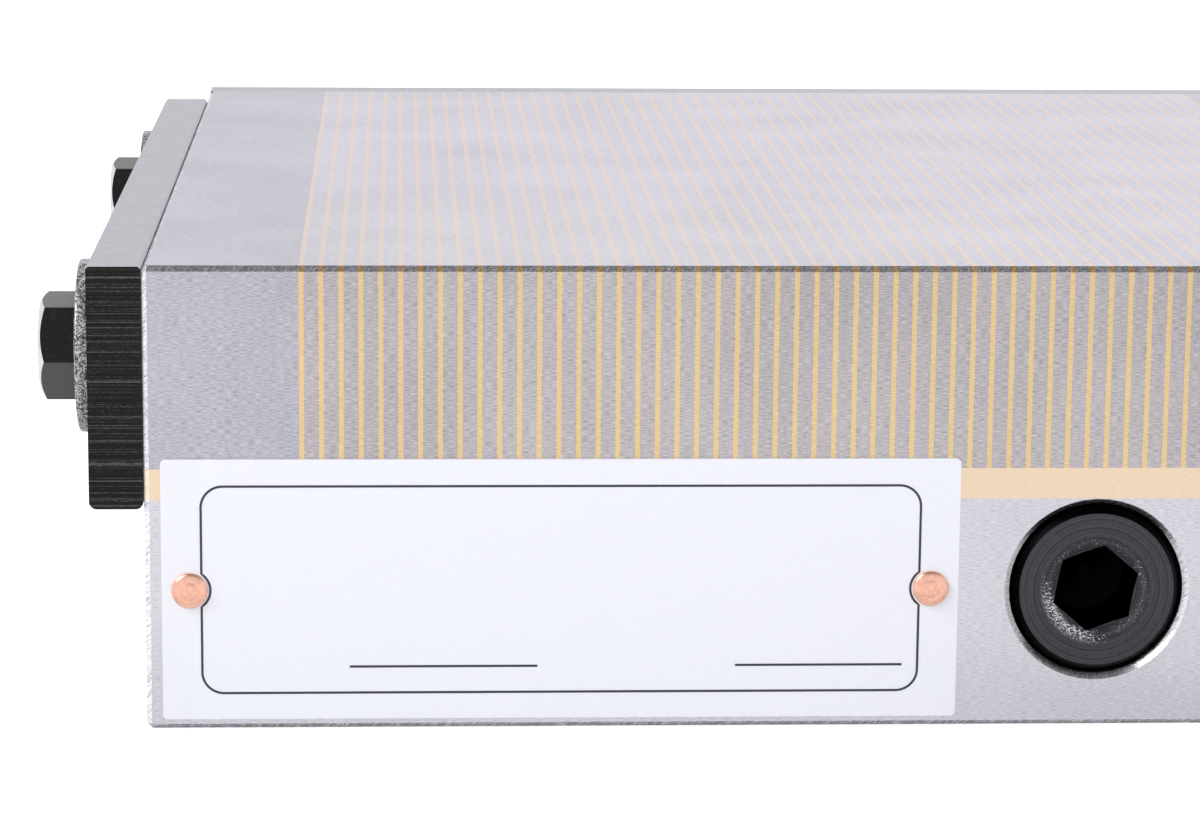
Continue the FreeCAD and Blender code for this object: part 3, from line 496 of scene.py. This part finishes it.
@dataclass(frozen=True)
class TurnedBlack:
    """Blackened shaft steel, faced on a lathe, with a nicked rim round its socket and a painted glint on the
    rim's lower left.

    `axis` is the X and Z of the shaft's middle, and `face` is the Y of its end. Rings are turned
    about the axis. The rim lies between two radii; the socket below its depth and the faces that neither look
    ahead nor lie on the rim get painted shade, a near-black copy of the colour.
    """

    name: str
    axis: tuple[float, float]
    face: float
    colour: Colour = (0.052, 0.052, 0.064)
    # The bright colour of both the worn nicks and the painted glint.
    worn_and_highlit: Colour = (0.75, 0.75, 0.80)
    low_share: float = 0.40
    high_share: float = 1.30
    unlit_share: float = 0.04
    matt: float = 0.45
    roughness: float = 0.22
    gloss_spread: float = 0.22
    ring: float = 0.22 * MM
    ring_height: float = 0.010 * MM
    ring_share: float = 0.85
    plain_height: float = 0.35
    mottle_scale: float = 1600.0
    nick_scale: Triple = (3500.0, 800.0, 6500.0)
    nick_step: Step = (0.61, 0.70)
    rim_inner: Step = (4.2 * MM, 4.8 * MM)
    rim_outer: Step = (5.9 * MM, 5.2 * MM)
    socket_depth: Step = (0.85 * MM, 1.19 * MM)
    glint_step: Step = (3.0 * MM, 6.5 * MM)
    glint_share: float = 0.13
    ahead_step: Step = (0.80, 0.92)
    ring_step: Step = (0.38, 0.64)

    def material(self) -> bpy.types.Material:
        """Build the material."""
        graph = Graph(self.name)
        place = graph.place()
        x, y, z = graph.split(place)
        shaded_socket = y.ramp(*(self.face + depth for depth in self.socket_depth))
        ahead = (graph.facing()[1] * -1.0).ramp(*self.ahead_step)
        radius = ((x - self.axis[0]) ** 2.0 + (z - self.axis[1]) ** 2.0) ** 0.5
        rings = graph.noise(graph.join(radius, 0.0, 0.0), scale=1 / self.ring, detail=3.0, rough=0.7)
        mottle = graph.noise(place, scale=self.mottle_scale, detail=4.0, rough=0.6)
        nicks = graph.noise(graph.scaled(place, self.nick_scale), detail=3.0, rough=0.75)
        near_rim = radius.ramp(*self.rim_inner) * radius.ramp(*self.rim_outer)
        # Painted glint: the rim's lower left is pushed towards the bright colour, standing in for a
        # highlight; the nicks themselves are wear.
        painted_glint = ((self.axis[0] - x) + (self.axis[1] - z)).ramp(*self.glint_step)
        wear_and_glint = (nicks + painted_glint * self.glint_share).ramp(*self.nick_step) * near_rim * (1 - shaded_socket)
        turned = (mottle * (1 - self.ring_share) + rings * self.ring_share).ramp(*self.ring_step)
        # unlit is painted shade: a near-black copy of the colour.
        low, high, unlit = (shade(self.colour, share)
                            for share in (self.low_share, self.high_share, self.unlit_share))
        # Faces that neither look ahead nor lie on the rim, and the socket below its depth, take the painted
        # shade.
        faced = ahead.larger(near_rim) * (1 - shaded_socket)
        open_face = graph.mix(wear_and_glint, graph.mix(turned, low, high), self.worn_and_highlit)
        graph.set(
            Base_Color=graph.mix(faced, unlit, open_face),
            Metallic=1 - faced * self.matt,
            Roughness=rings * self.gloss_spread + self.roughness,
            Normal=graph.bump(rings * near_rim.larger(self.plain_height) * ahead, self.ring_height),
        )
        return graph.owner


@dataclass(frozen=True)
class Plain:
    """A worked metal, rubber or ink with slight unevenness of colour and gloss."""

    name: str
    colour: Colour
    metallic: float = 1.0
    roughness: float = 0.35
    unevenness: float = 0.06
    lump: float = 0.5 * MM
    height: float = 0.003 * MM
    gloss_spread: float = 0.12
    lump_step: Step = (0.3, 0.7)

    def material(self) -> bpy.types.Material:
        """Build the material."""
        graph = Graph(self.name)
        lumps = graph.noise(graph.place(), scale=1 / self.lump, detail=3.0, rough=0.6)
        light, dark = (shade(self.colour, 1 + side * self.unevenness) for side in (1, -1))
        graph.set(
            Base_Color=graph.mix(lumps.ramp(*self.lump_step), dark, light),
            Metallic=self.metallic,
            Roughness=lumps * self.gloss_spread + (self.roughness - self.gloss_spread / 2),
            Normal=graph.bump(lumps, self.height),
        )
        return graph.owner


# ---- meshes --------------------------------------------------------------------------------------


class Facing(Enum):
    """Which way a fastener's head looks."""

    FRONT = Matrix(((1, 0, 0), (0, 0, -1), (0, 1, 0)))
    REAR = Matrix(((1, 0, 0), (0, 0, 1), (0, -1, 0)))
    LEFT = Matrix(((0, 0, -1), (1, 0, 0), (0, -1, 0)))

    def at(self, place: Sequence[float]) -> Matrix:
        """The matrix that stands a fastener at a place."""
        return Matrix.Translation(place) @ self.value.to_4x4()


Ring = list[Vector]
Profile = list[tuple[float, float]]


def polar(radius: float, degrees: float, height: float = 0.0) -> Vector:
    """A point at a radius and an angle about Z."""
    angle = math.radians(degrees)
    return Vector((radius * math.cos(angle), radius * math.sin(angle), height))


def turned(profile: Profile, segments: int, turn: Matrix) -> list[Ring]:
    """The circles that a profile's points sweep about Z.

    Args:
        profile: the radius and height of each circle.
        segments: how many points each circle has.
        turn: the place and facing of the piece.

    Returns:
        One ring for each point of the profile.
    """
    angles = [360 * n / segments for n in range(segments)]
    return [[turn @ polar(radius, angle, height) for angle in angles] for radius, height in profile]


def skin(mesh: bmesh.types.BMesh, rings: Sequence[Ring], finishes: Optional[Sequence[int]] = None,
         closed: bool = False) -> None:
    """Join rings of equal length into a closed surface.

    Args:
        mesh: where the faces go.
        rings: closed rows of points, from the bottom up.
        finishes: which of the piece's materials each band between two rings takes.
        closed: whether the last ring joins the first, in place of a cap at both ends.
    """
    rows = [[mesh.verts.new(point) for point in ring] for ring in rings]
    following = rows[1:] + rows[:1] if closed else rows[1:]
    for number, (lower, upper) in enumerate(zip(rows, following)):
        for n in range(len(lower)):
            face = mesh.faces.new((lower[n - 1], lower[n], upper[n], upper[n - 1]))
            face.material_index = finishes[number] if finishes else 0
    if not closed:
        mesh.faces.new(reversed(rows[0]))
        mesh.faces.new(rows[-1])


def finish_piece(mesh: bmesh.types.BMesh, name: str, materials: Iterable[bpy.types.Material],
                 sharp: float = 35.0) -> bpy.types.Object:
    """Make an object of a mesh, smooth except at its sharp edges.

    Args:
        mesh: the finished mesh, freed here.
        name: the piece's name.
        materials: its materials, in order.
        sharp: the angle in degrees over which an edge stays sharp.

    Returns:
        The new piece, not yet riding on a body.
    """
    bmesh.ops.recalc_face_normals(mesh, faces=mesh.faces)
    for edge in mesh.edges:
        edge.smooth = edge.calc_face_angle(0.0) < math.radians(sharp)
    for face in mesh.faces:
        face.smooth = True
    data = bpy.data.meshes.new(name)
    mesh.to_mesh(data)
    mesh.free()
    for material in materials:
        data.materials.append(material)
    piece = bpy.data.objects.new(name, data)
    bpy.context.scene.collection.objects.link(piece)
    return piece


def radius_of(node: str) -> float:
    """Half a node's height: the radius of the rivets, washers or bolt heads in it."""
    low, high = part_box(node)
    return (high.z - low.z) / 2


def dress(node: str, material: bpy.types.Material) -> None:
    """Give a CAD node its finish.

    Args:
        node: the node's name.
        material: the one material that it takes.
    """
    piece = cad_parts[node]
    piece.data.materials.clear()
    piece.data.materials.append(material)
    log.info("dressed %s in %s", node, material.name)


# ---- the sub-assemblies ----------------------------------------------------------------------------


@dataclass
class Block:
    """Housing, brass band and laminated top plate."""

    steel: GroundMetal = GroundMetal("ground_steel", (0.605, 0.587, 0.672), (0.600, 0.588, 0.680))
    poles: GroundMetal = GroundMetal("ground_poles", (0.625, 0.577, 0.612), (0.695, 0.670, 0.765))
    strips: GroundMetal = GroundMetal("ground_brass_strips", (0.870, 0.640, 0.335), (0.755, 0.620, 0.555),
                                      (0.80, 0.40, 0.10), (1.0, 0.80, 0.50), 0.10)
    band: GroundMetal = GroundMetal("ground_brass_band", (0.890, 0.705, 0.525), (0.890, 0.705, 0.525),
                                    (0.80, 0.60, 0.40), (1.0, 0.90, 0.75), 0.05)
    housing: GroundMetal = GroundMetal("ground_housing", (0.760, 0.750, 0.818), (0.760, 0.750, 0.818),
                                       contrast=0.14)

    def build(self) -> None:
        """Dress the block's own pieces."""
        steel = self.steel.material()
        dress("left_end_block", steel)
        dress("right_end_block", steel)
        dress("steel_laminations", self.poles.material())
        dress("brass_laminations", self.strips.material())
        dress("brass_band", self.band.material())
        dress("housing", self.housing.material())


@dataclass
class Nameplate:
    """Bare plate with a printed border that steps round its two copper rivets."""

    line_width: float = 0.24 * MM
    line_height: float = 0.02 * MM
    border_top: float = 2.75 * MM
    border_bottom: float = 2.75 * MM
    border_past_rivet: float = 1.2 * MM
    corner: float = 2.2 * MM
    notch: float = 2.1 * MM
    rule_above_border: float = 2.75 * MM
    rules: tuple[tuple[float, float], ...] = ((15.0 * MM, 19.2 * MM), (1.6 * MM, 17.2 * MM))
    arc_steps: int = 14
    rivet_segments: int = 72
    rivet_shank: float = 1.0 * MM
    rivet_foot: float = 0.985
    dome_steps: int = 32
    dome_start: float = 6.0
    crown_base: float = 0.16
    crown_power: float = 0.9
    punch_radius: float = 0.52
    punch_width: float = 0.08
    punch_depth: float = 0.10
    plate_finish: Plain = Plain("satin_plate", (0.905, 0.915, 0.985), 0.0, 0.55, 0.012,
                                0.25 * MM, 0.002 * MM)
    ink: Plain = Plain("dark_ink", (0.030, 0.032, 0.050), 0.0, 0.45)
    copper: Plain = Plain("rivet_copper", (0.90, 0.50, 0.38), 1.0, 0.28, 0.10, 0.6 * MM, 0.02 * MM)

    def build(self) -> None:
        """Dress the plate and make its lines and rivets."""
        dress("nameplate", self.plate_finish.material())
        ink = self.ink.material()
        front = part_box("nameplate")[0].y - self.line_height
        left, right, level = self.rivet_places()
        low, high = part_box("nameplate")
        bottom, top = low.z + self.border_bottom, high.z - self.border_top
        inner_left, inner_right = left + self.border_past_rivet, right - self.border_past_rivet
        outline = self.border(inner_left, inner_right, bottom, top, (left, right), level)
        self.print_line("border_line", outline, front, ink, closed=True)
        height = bottom + self.rule_above_border
        (from_left, first), (from_right, second) = self.rules
        starts = (inner_left + from_left, inner_right - from_right - second)
        for number, (start, length) in enumerate(zip(starts, (first, second)), start=1):
            ends = [Vector((start, 0, height)), Vector((start + length, 0, height))]
            self.print_line(f"ruled_line_{number}", ends, front, ink, closed=False)
        self.make_rivets()

    @staticmethod
    def rivet_places() -> tuple[float, float, float]:
        """Find the rivets.

        Returns:
            The X of both rivets and their common Z.
        """
        low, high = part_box("nameplate_rivets")
        head = radius_of("nameplate_rivets")
        return low.x + head, high.x - head, (low.z + high.z) / 2

    def head_height(self, outward: float, upward: float) -> float:
        """The height of a rivet's head as a share of the whole, with the ring that its punch left."""
        groove = math.exp(-((outward - self.punch_radius) / self.punch_width) ** 2)
        crown = self.crown_base + (1 - self.crown_base) * upward ** self.crown_power
        return crown - self.punch_depth * groove

    def border(self, left: float, right: float, bottom: float, top: float,
               rivets: tuple[float, float], level: float) -> Ring:
        """The border's middle line.

        Args:
            left: the X of its left side.
            right: the X of its right side.
            bottom: the Z of its lower side.
            top: the Z of its upper side.
            rivets: the X of both rivets.
            level: the Z of both rivets.

        Returns:
            Its points, anticlockwise from the lower left corner.
        """
        points: Ring = []

        def arc(x: float, z: float, radius: float, start: float, sweep: float) -> None:
            """Add an arc, with its start and sweep in degrees."""
            for n in range(self.arc_steps + 1):
                point = polar(radius, start + sweep * n / self.arc_steps)
                points.append(Vector((x + point.x, 0, z + point.y)))

        r = self.corner
        reach = math.degrees(math.acos(self.border_past_rivet / self.notch))
        arc(left + r, bottom + r, r, 180, 90)
        arc(right - r, bottom + r, r, 270, 90)
        arc(rivets[1], level, self.notch, 180 + reach, -2 * reach)
        arc(right - r, top - r, r, 0, 90)
        arc(left + r, top - r, r, 90, 90)
        arc(rivets[0], level, self.notch, reach, -2 * reach)
        return points

    def print_line(self, name: str, points: Ring, front: float, ink: bpy.types.Material,
                   closed: bool) -> None:
        """Lay a thin line of ink on the plate.

        Args:
            name: the piece's name.
            points: its middle line, in X and Z.
            front: the Y of its face.
            ink: its material.
            closed: whether it runs back to its first point.
        """
        mesh = bmesh.new()
        count = len(points)
        rows = []
        for n, point in enumerate(points):
            before = points[n - 1] if closed or n else point
            after = points[(n + 1) % count] if closed or n < count - 1 else point
            along = (after - before).normalized()
            aside = Vector((-along.z, 0, along.x)) * (self.line_width / 2)
            depths = (front, front + self.line_height)
            corners = [(point + aside, 0), (point - aside, 0), (point - aside, 1), (point + aside, 1)]
            rows.append([mesh.verts.new((p.x, depths[d], p.z)) for p, d in corners])
        for n in range(count if closed else count - 1):
            first, second = rows[n], rows[(n + 1) % count]
            for side in range(4):
                mesh.faces.new((first[side - 1], first[side], second[side], second[side - 1]))
        if not closed:
            mesh.faces.new(rows[0])
            mesh.faces.new(reversed(rows[-1]))
        piece = finish_piece(mesh, name, [ink])
        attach(piece, "root")
        log.info("printed %s", name)

    def make_rivets(self) -> None:
        """Domed copper rivets, a little flattened by the hammer."""
        low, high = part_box("nameplate_rivets")
        left, right, level = self.rivet_places()
        radius = radius_of("nameplate_rivets")
        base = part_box("nameplate")[0].y
        dome = base - low.y
        mesh = bmesh.new()
        slopes = [math.radians(self.dome_start + (90 - self.dome_start) * n / self.dome_steps)
                  for n in range(self.dome_steps)]
        profile = [(self.rivet_shank, base - high.y), (self.rivet_shank, 0.0),
                   (radius * self.rivet_foot, 0.0)]
        profile += [(radius * math.cos(a), dome * self.head_height(math.cos(a), math.sin(a))) for a in slopes]
        for x in (left, right):
            skin(mesh, turned(profile, self.rivet_segments, Facing.FRONT.at((x, base, level))))
        piece = finish_piece(mesh, "copper_rivets", [self.copper.material()])
        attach(piece, "root")
        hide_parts("nameplate_rivets")
        log.info("made %s", piece.name)


@dataclass
class KeyShaft:
    """Key shaft with its seal, bush and stop pin."""

    seal: Plain = Plain("seal_rubber", (0.02, 0.02, 0.02), 0.0, 0.6)
    bush: Plain = Plain("bush_bronze", (0.60, 0.40, 0.20), 1.0, 0.35)
    pin: Plain = Plain("pin_steel", (0.55, 0.55, 0.57), 1.0, 0.25)

    def build(self) -> None:
        """Dress the shaft and what turns with it."""
        low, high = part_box("cam_shaft")
        axis = ((low.x + high.x) / 2, (low.z + high.z) / 2)
        dress("cam_shaft", TurnedBlack("turned_black", axis, low.y).material())
        dress("shaft_seal", self.seal.material())
        dress("eccentric_bush", self.bush.material())
        dress("stop_pin", self.pin.material())


@dataclass
class StopRail:
    """One stop rail with its two bolts and broad washers.

    Shares of a bolt are of its head's corner radius, shares of a washer are of its rounding, and
    shares of the thread are of its pitch.
    """

    side: str
    facing: Facing
    rail_material: bpy.types.Material
    black: bpy.types.Material
    worn_and_highlit: bpy.types.Material
    speckled: bpy.types.Material
    head_turn: float = 52.5
    face_share: float = 0.82
    inner_share: float = 0.5
    shank_share: float = 0.5196
    hole_share: float = 0.554
    edge_round: float = 0.10 * MM
    flat_steps: int = 12
    head_slope: float = 30.0
    head_rim: float = 0.09 * MM
    head_inset: Step = (0.985, 0.992)
    head_sharp: float = 28.0
    thread_segments: int = 32
    thread_pitch: float = 1.0 * MM
    thread_depth: float = 0.55 * MM
    thread_shares: Triple = (0.4, 0.5, 0.9)
    thread_start: Step = (0.3 * MM, 0.4 * MM)
    thread_end: float = 0.4 * MM
    washer_segments: int = 96
    washer_round: float = 0.3 * MM
    washer_steps: int = 5
    washer_back: float = 0.4
    washer_mouth: float = 0.3

    def build(self) -> None:
        """Dress the rail and make its fasteners."""
        dress(f"{self.side}_stop_rail", self.rail_material)
        self.make_washers()
        self.make_bolts()

    def axis_places(self, node: str) -> list[Vector]:
        """Find where a node's two pieces stand.

        Args:
            node: the rail's washers or bolts.

        Returns:
            The middles of their outer faces, in line with the rail's washers.
        """
        washers = f"{self.side}_stop_washers"
        low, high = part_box(washers)
        radius, level = radius_of(washers), (low.z + high.z) / 2
        if self.facing is Facing.LEFT:
            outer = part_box(node)[0].x
            return [Vector((outer, y, level)) for y in (low.y + radius, high.y - radius)]
        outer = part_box(node)[1].y
        return [Vector((x, outer, level)) for x in (low.x + radius, high.x - radius)]

    def depth(self, node: str) -> float:
        """The length of a node along its fastener's axis."""
        low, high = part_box(node)
        return high.x - low.x if self.facing is Facing.LEFT else high.y - low.y

    def make_washers(self) -> None:
        """Flat washers with rounded rims."""
        node = f"{self.side}_stop_washers"
        outer, thick, soft = radius_of(node), self.depth(node), self.washer_round
        hole = radius_of(f"{self.side}_stop_bolts") * self.hole_share
        back, mouth = soft * self.washer_back, soft * self.washer_mouth
        quarter = [math.radians(90 * n / self.washer_steps) for n in range(self.washer_steps + 1)]
        profile = [(outer - back * (1 - math.sin(a)), back * (1 - math.cos(a)) - thick) for a in quarter]
        profile += [(outer - soft + soft * math.cos(a), soft * math.sin(a) - soft) for a in quarter]
        profile += [(hole + mouth, 0.0), (hole, -mouth), (hole, -thick)]
        mesh = bmesh.new()
        for place in self.axis_places(node):
            skin(mesh, turned(profile, self.washer_segments, self.facing.at(place)), closed=True)
        piece = finish_piece(mesh, f"{self.side}_washers", [self.speckled])
        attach(piece, "root")
        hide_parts(node)
        log.info("made %s", piece.name)

    def hexagon(self, corner: float) -> Ring:
        """A hexagon's outline with small round corners, turned by `head_turn`.

        Args:
            corner: the distance from the middle to a sharp corner.

        Returns:
            Its points.
        """
        points: Ring = []
        centre = corner - self.edge_round * 2 / math.sqrt(3)
        for middle in (self.head_turn + 60 * number for number in range(6)):
            points += [polar(centre, middle) + polar(self.edge_round, middle + aside)
                       for aside in (-30, -15, 0, 15, 30)]
            start = points[-1]
            end = polar(centre, middle + 60) + polar(self.edge_round, middle + 30)
            points += [start.lerp(end, n / self.flat_steps) for n in range(1, self.flat_steps)]
        return points

    def make_bolts(self) -> None:
        """Hexagon bolts: corners turned off at the face, threaded shank behind the rail."""
        node = f"{self.side}_stop_bolts"
        low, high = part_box(node)
        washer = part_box(f"{self.side}_stop_washers")
        head = (washer[0].x - low.x) if self.facing is Facing.LEFT else (high.y - washer[1].y)
        corner, length = radius_of(node), self.depth(node)
        outline = self.hexagon(corner)
        mesh = bmesh.new()
        for place in self.axis_places(node):
            turn = self.facing.at(place)
            self.add_head(mesh, turn, outline, head, corner * self.face_share)
            self.add_shank(mesh, turn, corner * self.shank_share, head, length)
        piece = finish_piece(mesh, f"{self.side}_bolts", [self.black, self.worn_and_highlit], self.head_sharp)
        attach(piece, "root")
        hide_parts(node)
        log.info("made %s", piece.name)

    def add_head(self, mesh: bmesh.types.BMesh, turn: Matrix, outline: Ring, head: float,
                 face: float) -> None:
        """Add one bolt's head.

        Args:
            mesh: where it goes.
            turn: the place and facing of its outer face.
            outline: the hexagon.
            head: its height.
            face: the radius of the flat round face.
        """
        slope, rim = math.tan(math.radians(self.head_slope)), self.head_rim
        under, over = self.head_inset

        def straight(share: float, height: float) -> Ring:
            """The outline drawn in by a share, at one height."""
            return [turn @ Vector((p.x * share, p.y * share, height)) for p in outline]

        def sloped(share: float, drop: float) -> Ring:
            """The outline drawn in by a share, a little below the cone that trims the corners."""
            return [turn @ Vector((p.x * share, p.y * share, -max(0.0, p.length - face) * slope - drop))
                    for p in outline]

        def circular(radius: float) -> Ring:
            """A circle on the face, with as many points as the outline."""
            return [turn @ (p * (radius / p.length)) for p in outline]

        rings = [
            straight(under, -head),
            straight(1.0, rim - head),
            sloped(1.0, rim),
            sloped(over, rim / 4),
            circular(face),
            circular(face - rim),
            circular(face * self.inner_share),
        ]
        # Bands of finish 1, the head's bottom edge and its cone chamfer, are drawn bright: partly worn bare
        # metal, partly painted highlight.
        skin(mesh, rings, [1, 0, 1, 1, 0, 0])

    def add_shank(self, mesh: bmesh.types.BMesh, turn: Matrix, shank: float, head: float,
                  length: float) -> None:
        """Add one bolt's threaded shank.

        Args:
            mesh: where it goes.
            turn: the place and facing of the head's outer face.
            shank: its radius.
            head: the head's height.
            length: the bolt's whole length.
        """
        root, pitch = shank - self.thread_depth, self.thread_pitch
        rise, crest, foot = (share * pitch for share in self.thread_shares)
        lead, start = (place - length for place in self.thread_start)
        profile = [(root, -length), (root, lead)]
        for n in range(int((length - head) / pitch) - 1):
            low = start + n * pitch
            profile += [(root, low), (shank, low + rise), (shank, low + crest), (root, low + foot)]
        profile += [(shank, -head - self.thread_end), (shank, -head)]
        skin(mesh, turned(profile, self.thread_segments, turn))


@dataclass
class Underside:
    """Bottom cover with its screws, and the screws that hold the block together."""

    cover: BlackOxide = BlackOxide("blackened_cover", (0.045, 0.046, 0.048), (0.10, 0.10, 0.105),
                                   0.42, 0.35, 0.5)
    screws: BlackOxide = BlackOxide("black_screws", (0.018, 0.018, 0.020), (0.045, 0.045, 0.05),
                                    0.35, 0.35, 0.5)

    def build(self) -> None:
        """Dress the cover and screws."""
        dress("base_cover", self.cover.material())
        screws = self.screws.material()
        dress("cover_screws", screws)
        dress("assembly_screws", screws)


@dataclass
class MagnetPack:
    """The sliding pack inside the housing."""

    finishes: dict[str, Plain] = field(default_factory=lambda: {
        "magnet_tray": Plain("milled_aluminium", (0.72, 0.73, 0.75), 1.0, 0.35),
        "pole_bars": Plain("pole_steel", (0.50, 0.50, 0.52), 1.0, 0.30),
        "magnets": Plain("sintered_magnet", (0.09, 0.09, 0.10), 0.4, 0.6, 0.15),
        "slide_strips": Plain("strip_brass", (0.75, 0.52, 0.24), 1.0, 0.35),
    })

    def build(self) -> None:
        """Dress the pack and the strips that it slides on."""
        for node, finish in self.finishes.items():
            dress(node, finish.material())


@dataclass
class Studio:
    """Camera, pale floor and soft light.

    Angles are in degrees. Each lamp has a name, a place, a size in metres and a power in watts.
    """

    azimuth: float = 2.937
    elevation: float = 11.394
    roll: float = 0.519
    distance: float = 402.35 * MM
    aim: Triple = (-28.835 * MM, -75.0 * MM, 32.459 * MM)
    lens: float = 119.07
    sensor: float = 36.0
    clip: Step = (0.01, 50.0)
    floor_size: float = 6.0
    floor_colour: Colour = (0.8, 0.8, 0.8)
    floor_roughness: float = 0.9
    floor_gap: float = 0.02 * MM
    horizon: float = 1.0
    zenith: float = 0.30
    sky_low: float = 0.35
    sky_high: float = 0.85
    white_glow: float = 0.6
    mirrored_glow: float = 0.15
    lamps: tuple[tuple[str, Triple, float, float], ...] = (
        ("soft_box_left", (-0.9, -0.5, 0.9), 0.6, 9.0),
        ("soft_box_rear", (0.2, 0.5, 1.1), 0.5, 6.0),
    )

    def build(self) -> None:
        """Set up the whole studio."""
        self.place_camera()
        self.lay_floor()
        self.light_world()
        self.hang_lamps()

    def place_camera(self) -> None:
        """Put the camera on its orbit round the point that it looks at."""
        turn, tilt = math.radians(self.azimuth), math.radians(self.elevation)
        level = math.cos(tilt)
        ahead = Vector((math.sin(turn) * level, math.cos(turn) * level, -math.sin(tilt)))
        data = bpy.data.cameras.new("view")
        data.lens, data.sensor_width = self.lens, self.sensor
        data.clip_start, data.clip_end = self.clip
        camera = bpy.data.objects.new("view", data)
        bpy.context.scene.collection.objects.link(camera)
        upright = ahead.to_track_quat("-Z", "Y").to_matrix().to_4x4()
        camera.matrix_world = (Matrix.Translation(Vector(self.aim) - ahead * self.distance) @ upright
                               @ Matrix.Rotation(math.radians(self.roll), 4, "Z"))
        bpy.context.scene.camera = camera
        bpy.context.scene.view_settings.view_transform = "Standard"

    def lay_floor(self) -> None:
        """A plain white floor that keeps the chuck's shadow."""
        mesh = bmesh.new()
        half = self.floor_size / 2
        corners = [mesh.verts.new((x, y, cad_box[0][2] - self.floor_gap)) for x, y in
                   ((-half, -half), (half, -half), (half, half), (-half, half))]
        mesh.faces.new(corners)
        graph = Graph("white_floor")
        graph.set(Base_Color=(*self.floor_colour, 1.0), Roughness=self.floor_roughness,
                  Specular_IOR_Level=0.0)
        mirrored = graph.mix(graph.ray("Is Glossy Ray"), (0.0, 0.0, 0.0), (self.mirrored_glow,) * 3)
        glow = graph.mix(graph.ray("Is Camera Ray"), mirrored, (self.white_glow,) * 3)
        graph.set(Emission_Color=glow, Emission_Strength=1.0)
        floor = finish_piece(mesh, "floor", [graph.owner])

    def light_world(self) -> None:
        """A room that is white at eye level and greyer overhead."""
        graph = Graph("room", world=True)
        bpy.context.scene.world = graph.owner
        height = graph.split(graph.node("ShaderNodeTexCoord", {}, {}, "Generated"))[2]
        sky = self.horizon - height.ramp(self.sky_low, self.sky_high) * (self.horizon - self.zenith)
        graph.set(Color=graph.mix(graph.ray("Is Camera Ray"), sky, (1.0, 1.0, 1.0)), Strength=1.0)

    def hang_lamps(self) -> None:
        """Soft boxes to the left and the right, above the chuck."""
        for name, place, size, power in self.lamps:
            spot = Vector(place)
            data = bpy.data.lights.new(name, "AREA")
            data.shape, data.size, data.energy = "SQUARE", size, power
            lamp = bpy.data.objects.new(name, data)
            lamp.matrix_world = Matrix.Translation(spot) @ spot.to_track_quat("Z", "Y").to_matrix().to_4x4()
            bpy.context.scene.collection.objects.link(lamp)


def main() -> None:
    """Build the studio, then every sub-assembly in order."""
    logging.basicConfig(level=logging.INFO, format="%(message)s")
    Studio().build()
    Block().build()
    Nameplate().build()
    KeyShaft().build()
    # The bolts' level faces get the painted sheen.
    black = BlackOxide("black_bolts", level_sheen=(0.10, 0.10, 0.10)).material()
    # Bright edge material for the bolt heads: worn bare metal and painted highlight.
    worn_and_highlit = Plain("worn_and_highlit_edges", (0.72, 0.72, 0.78), 1.0, 0.3).material()
    speckled = Speckled("speckled_washers").material()
    for side, facing, inward in (("left", Facing.LEFT, (1, 0, 0)), ("rear", Facing.REAR, (0, -1, 0))):
        rail = SawnRail(f"{side}_sawn_rail", inward).material()
        StopRail(side, facing, rail, black, worn_and_highlit, speckled).build()
    Underside().build()
    MagnetPack().build()


if __name__ == "__main__":
    main()
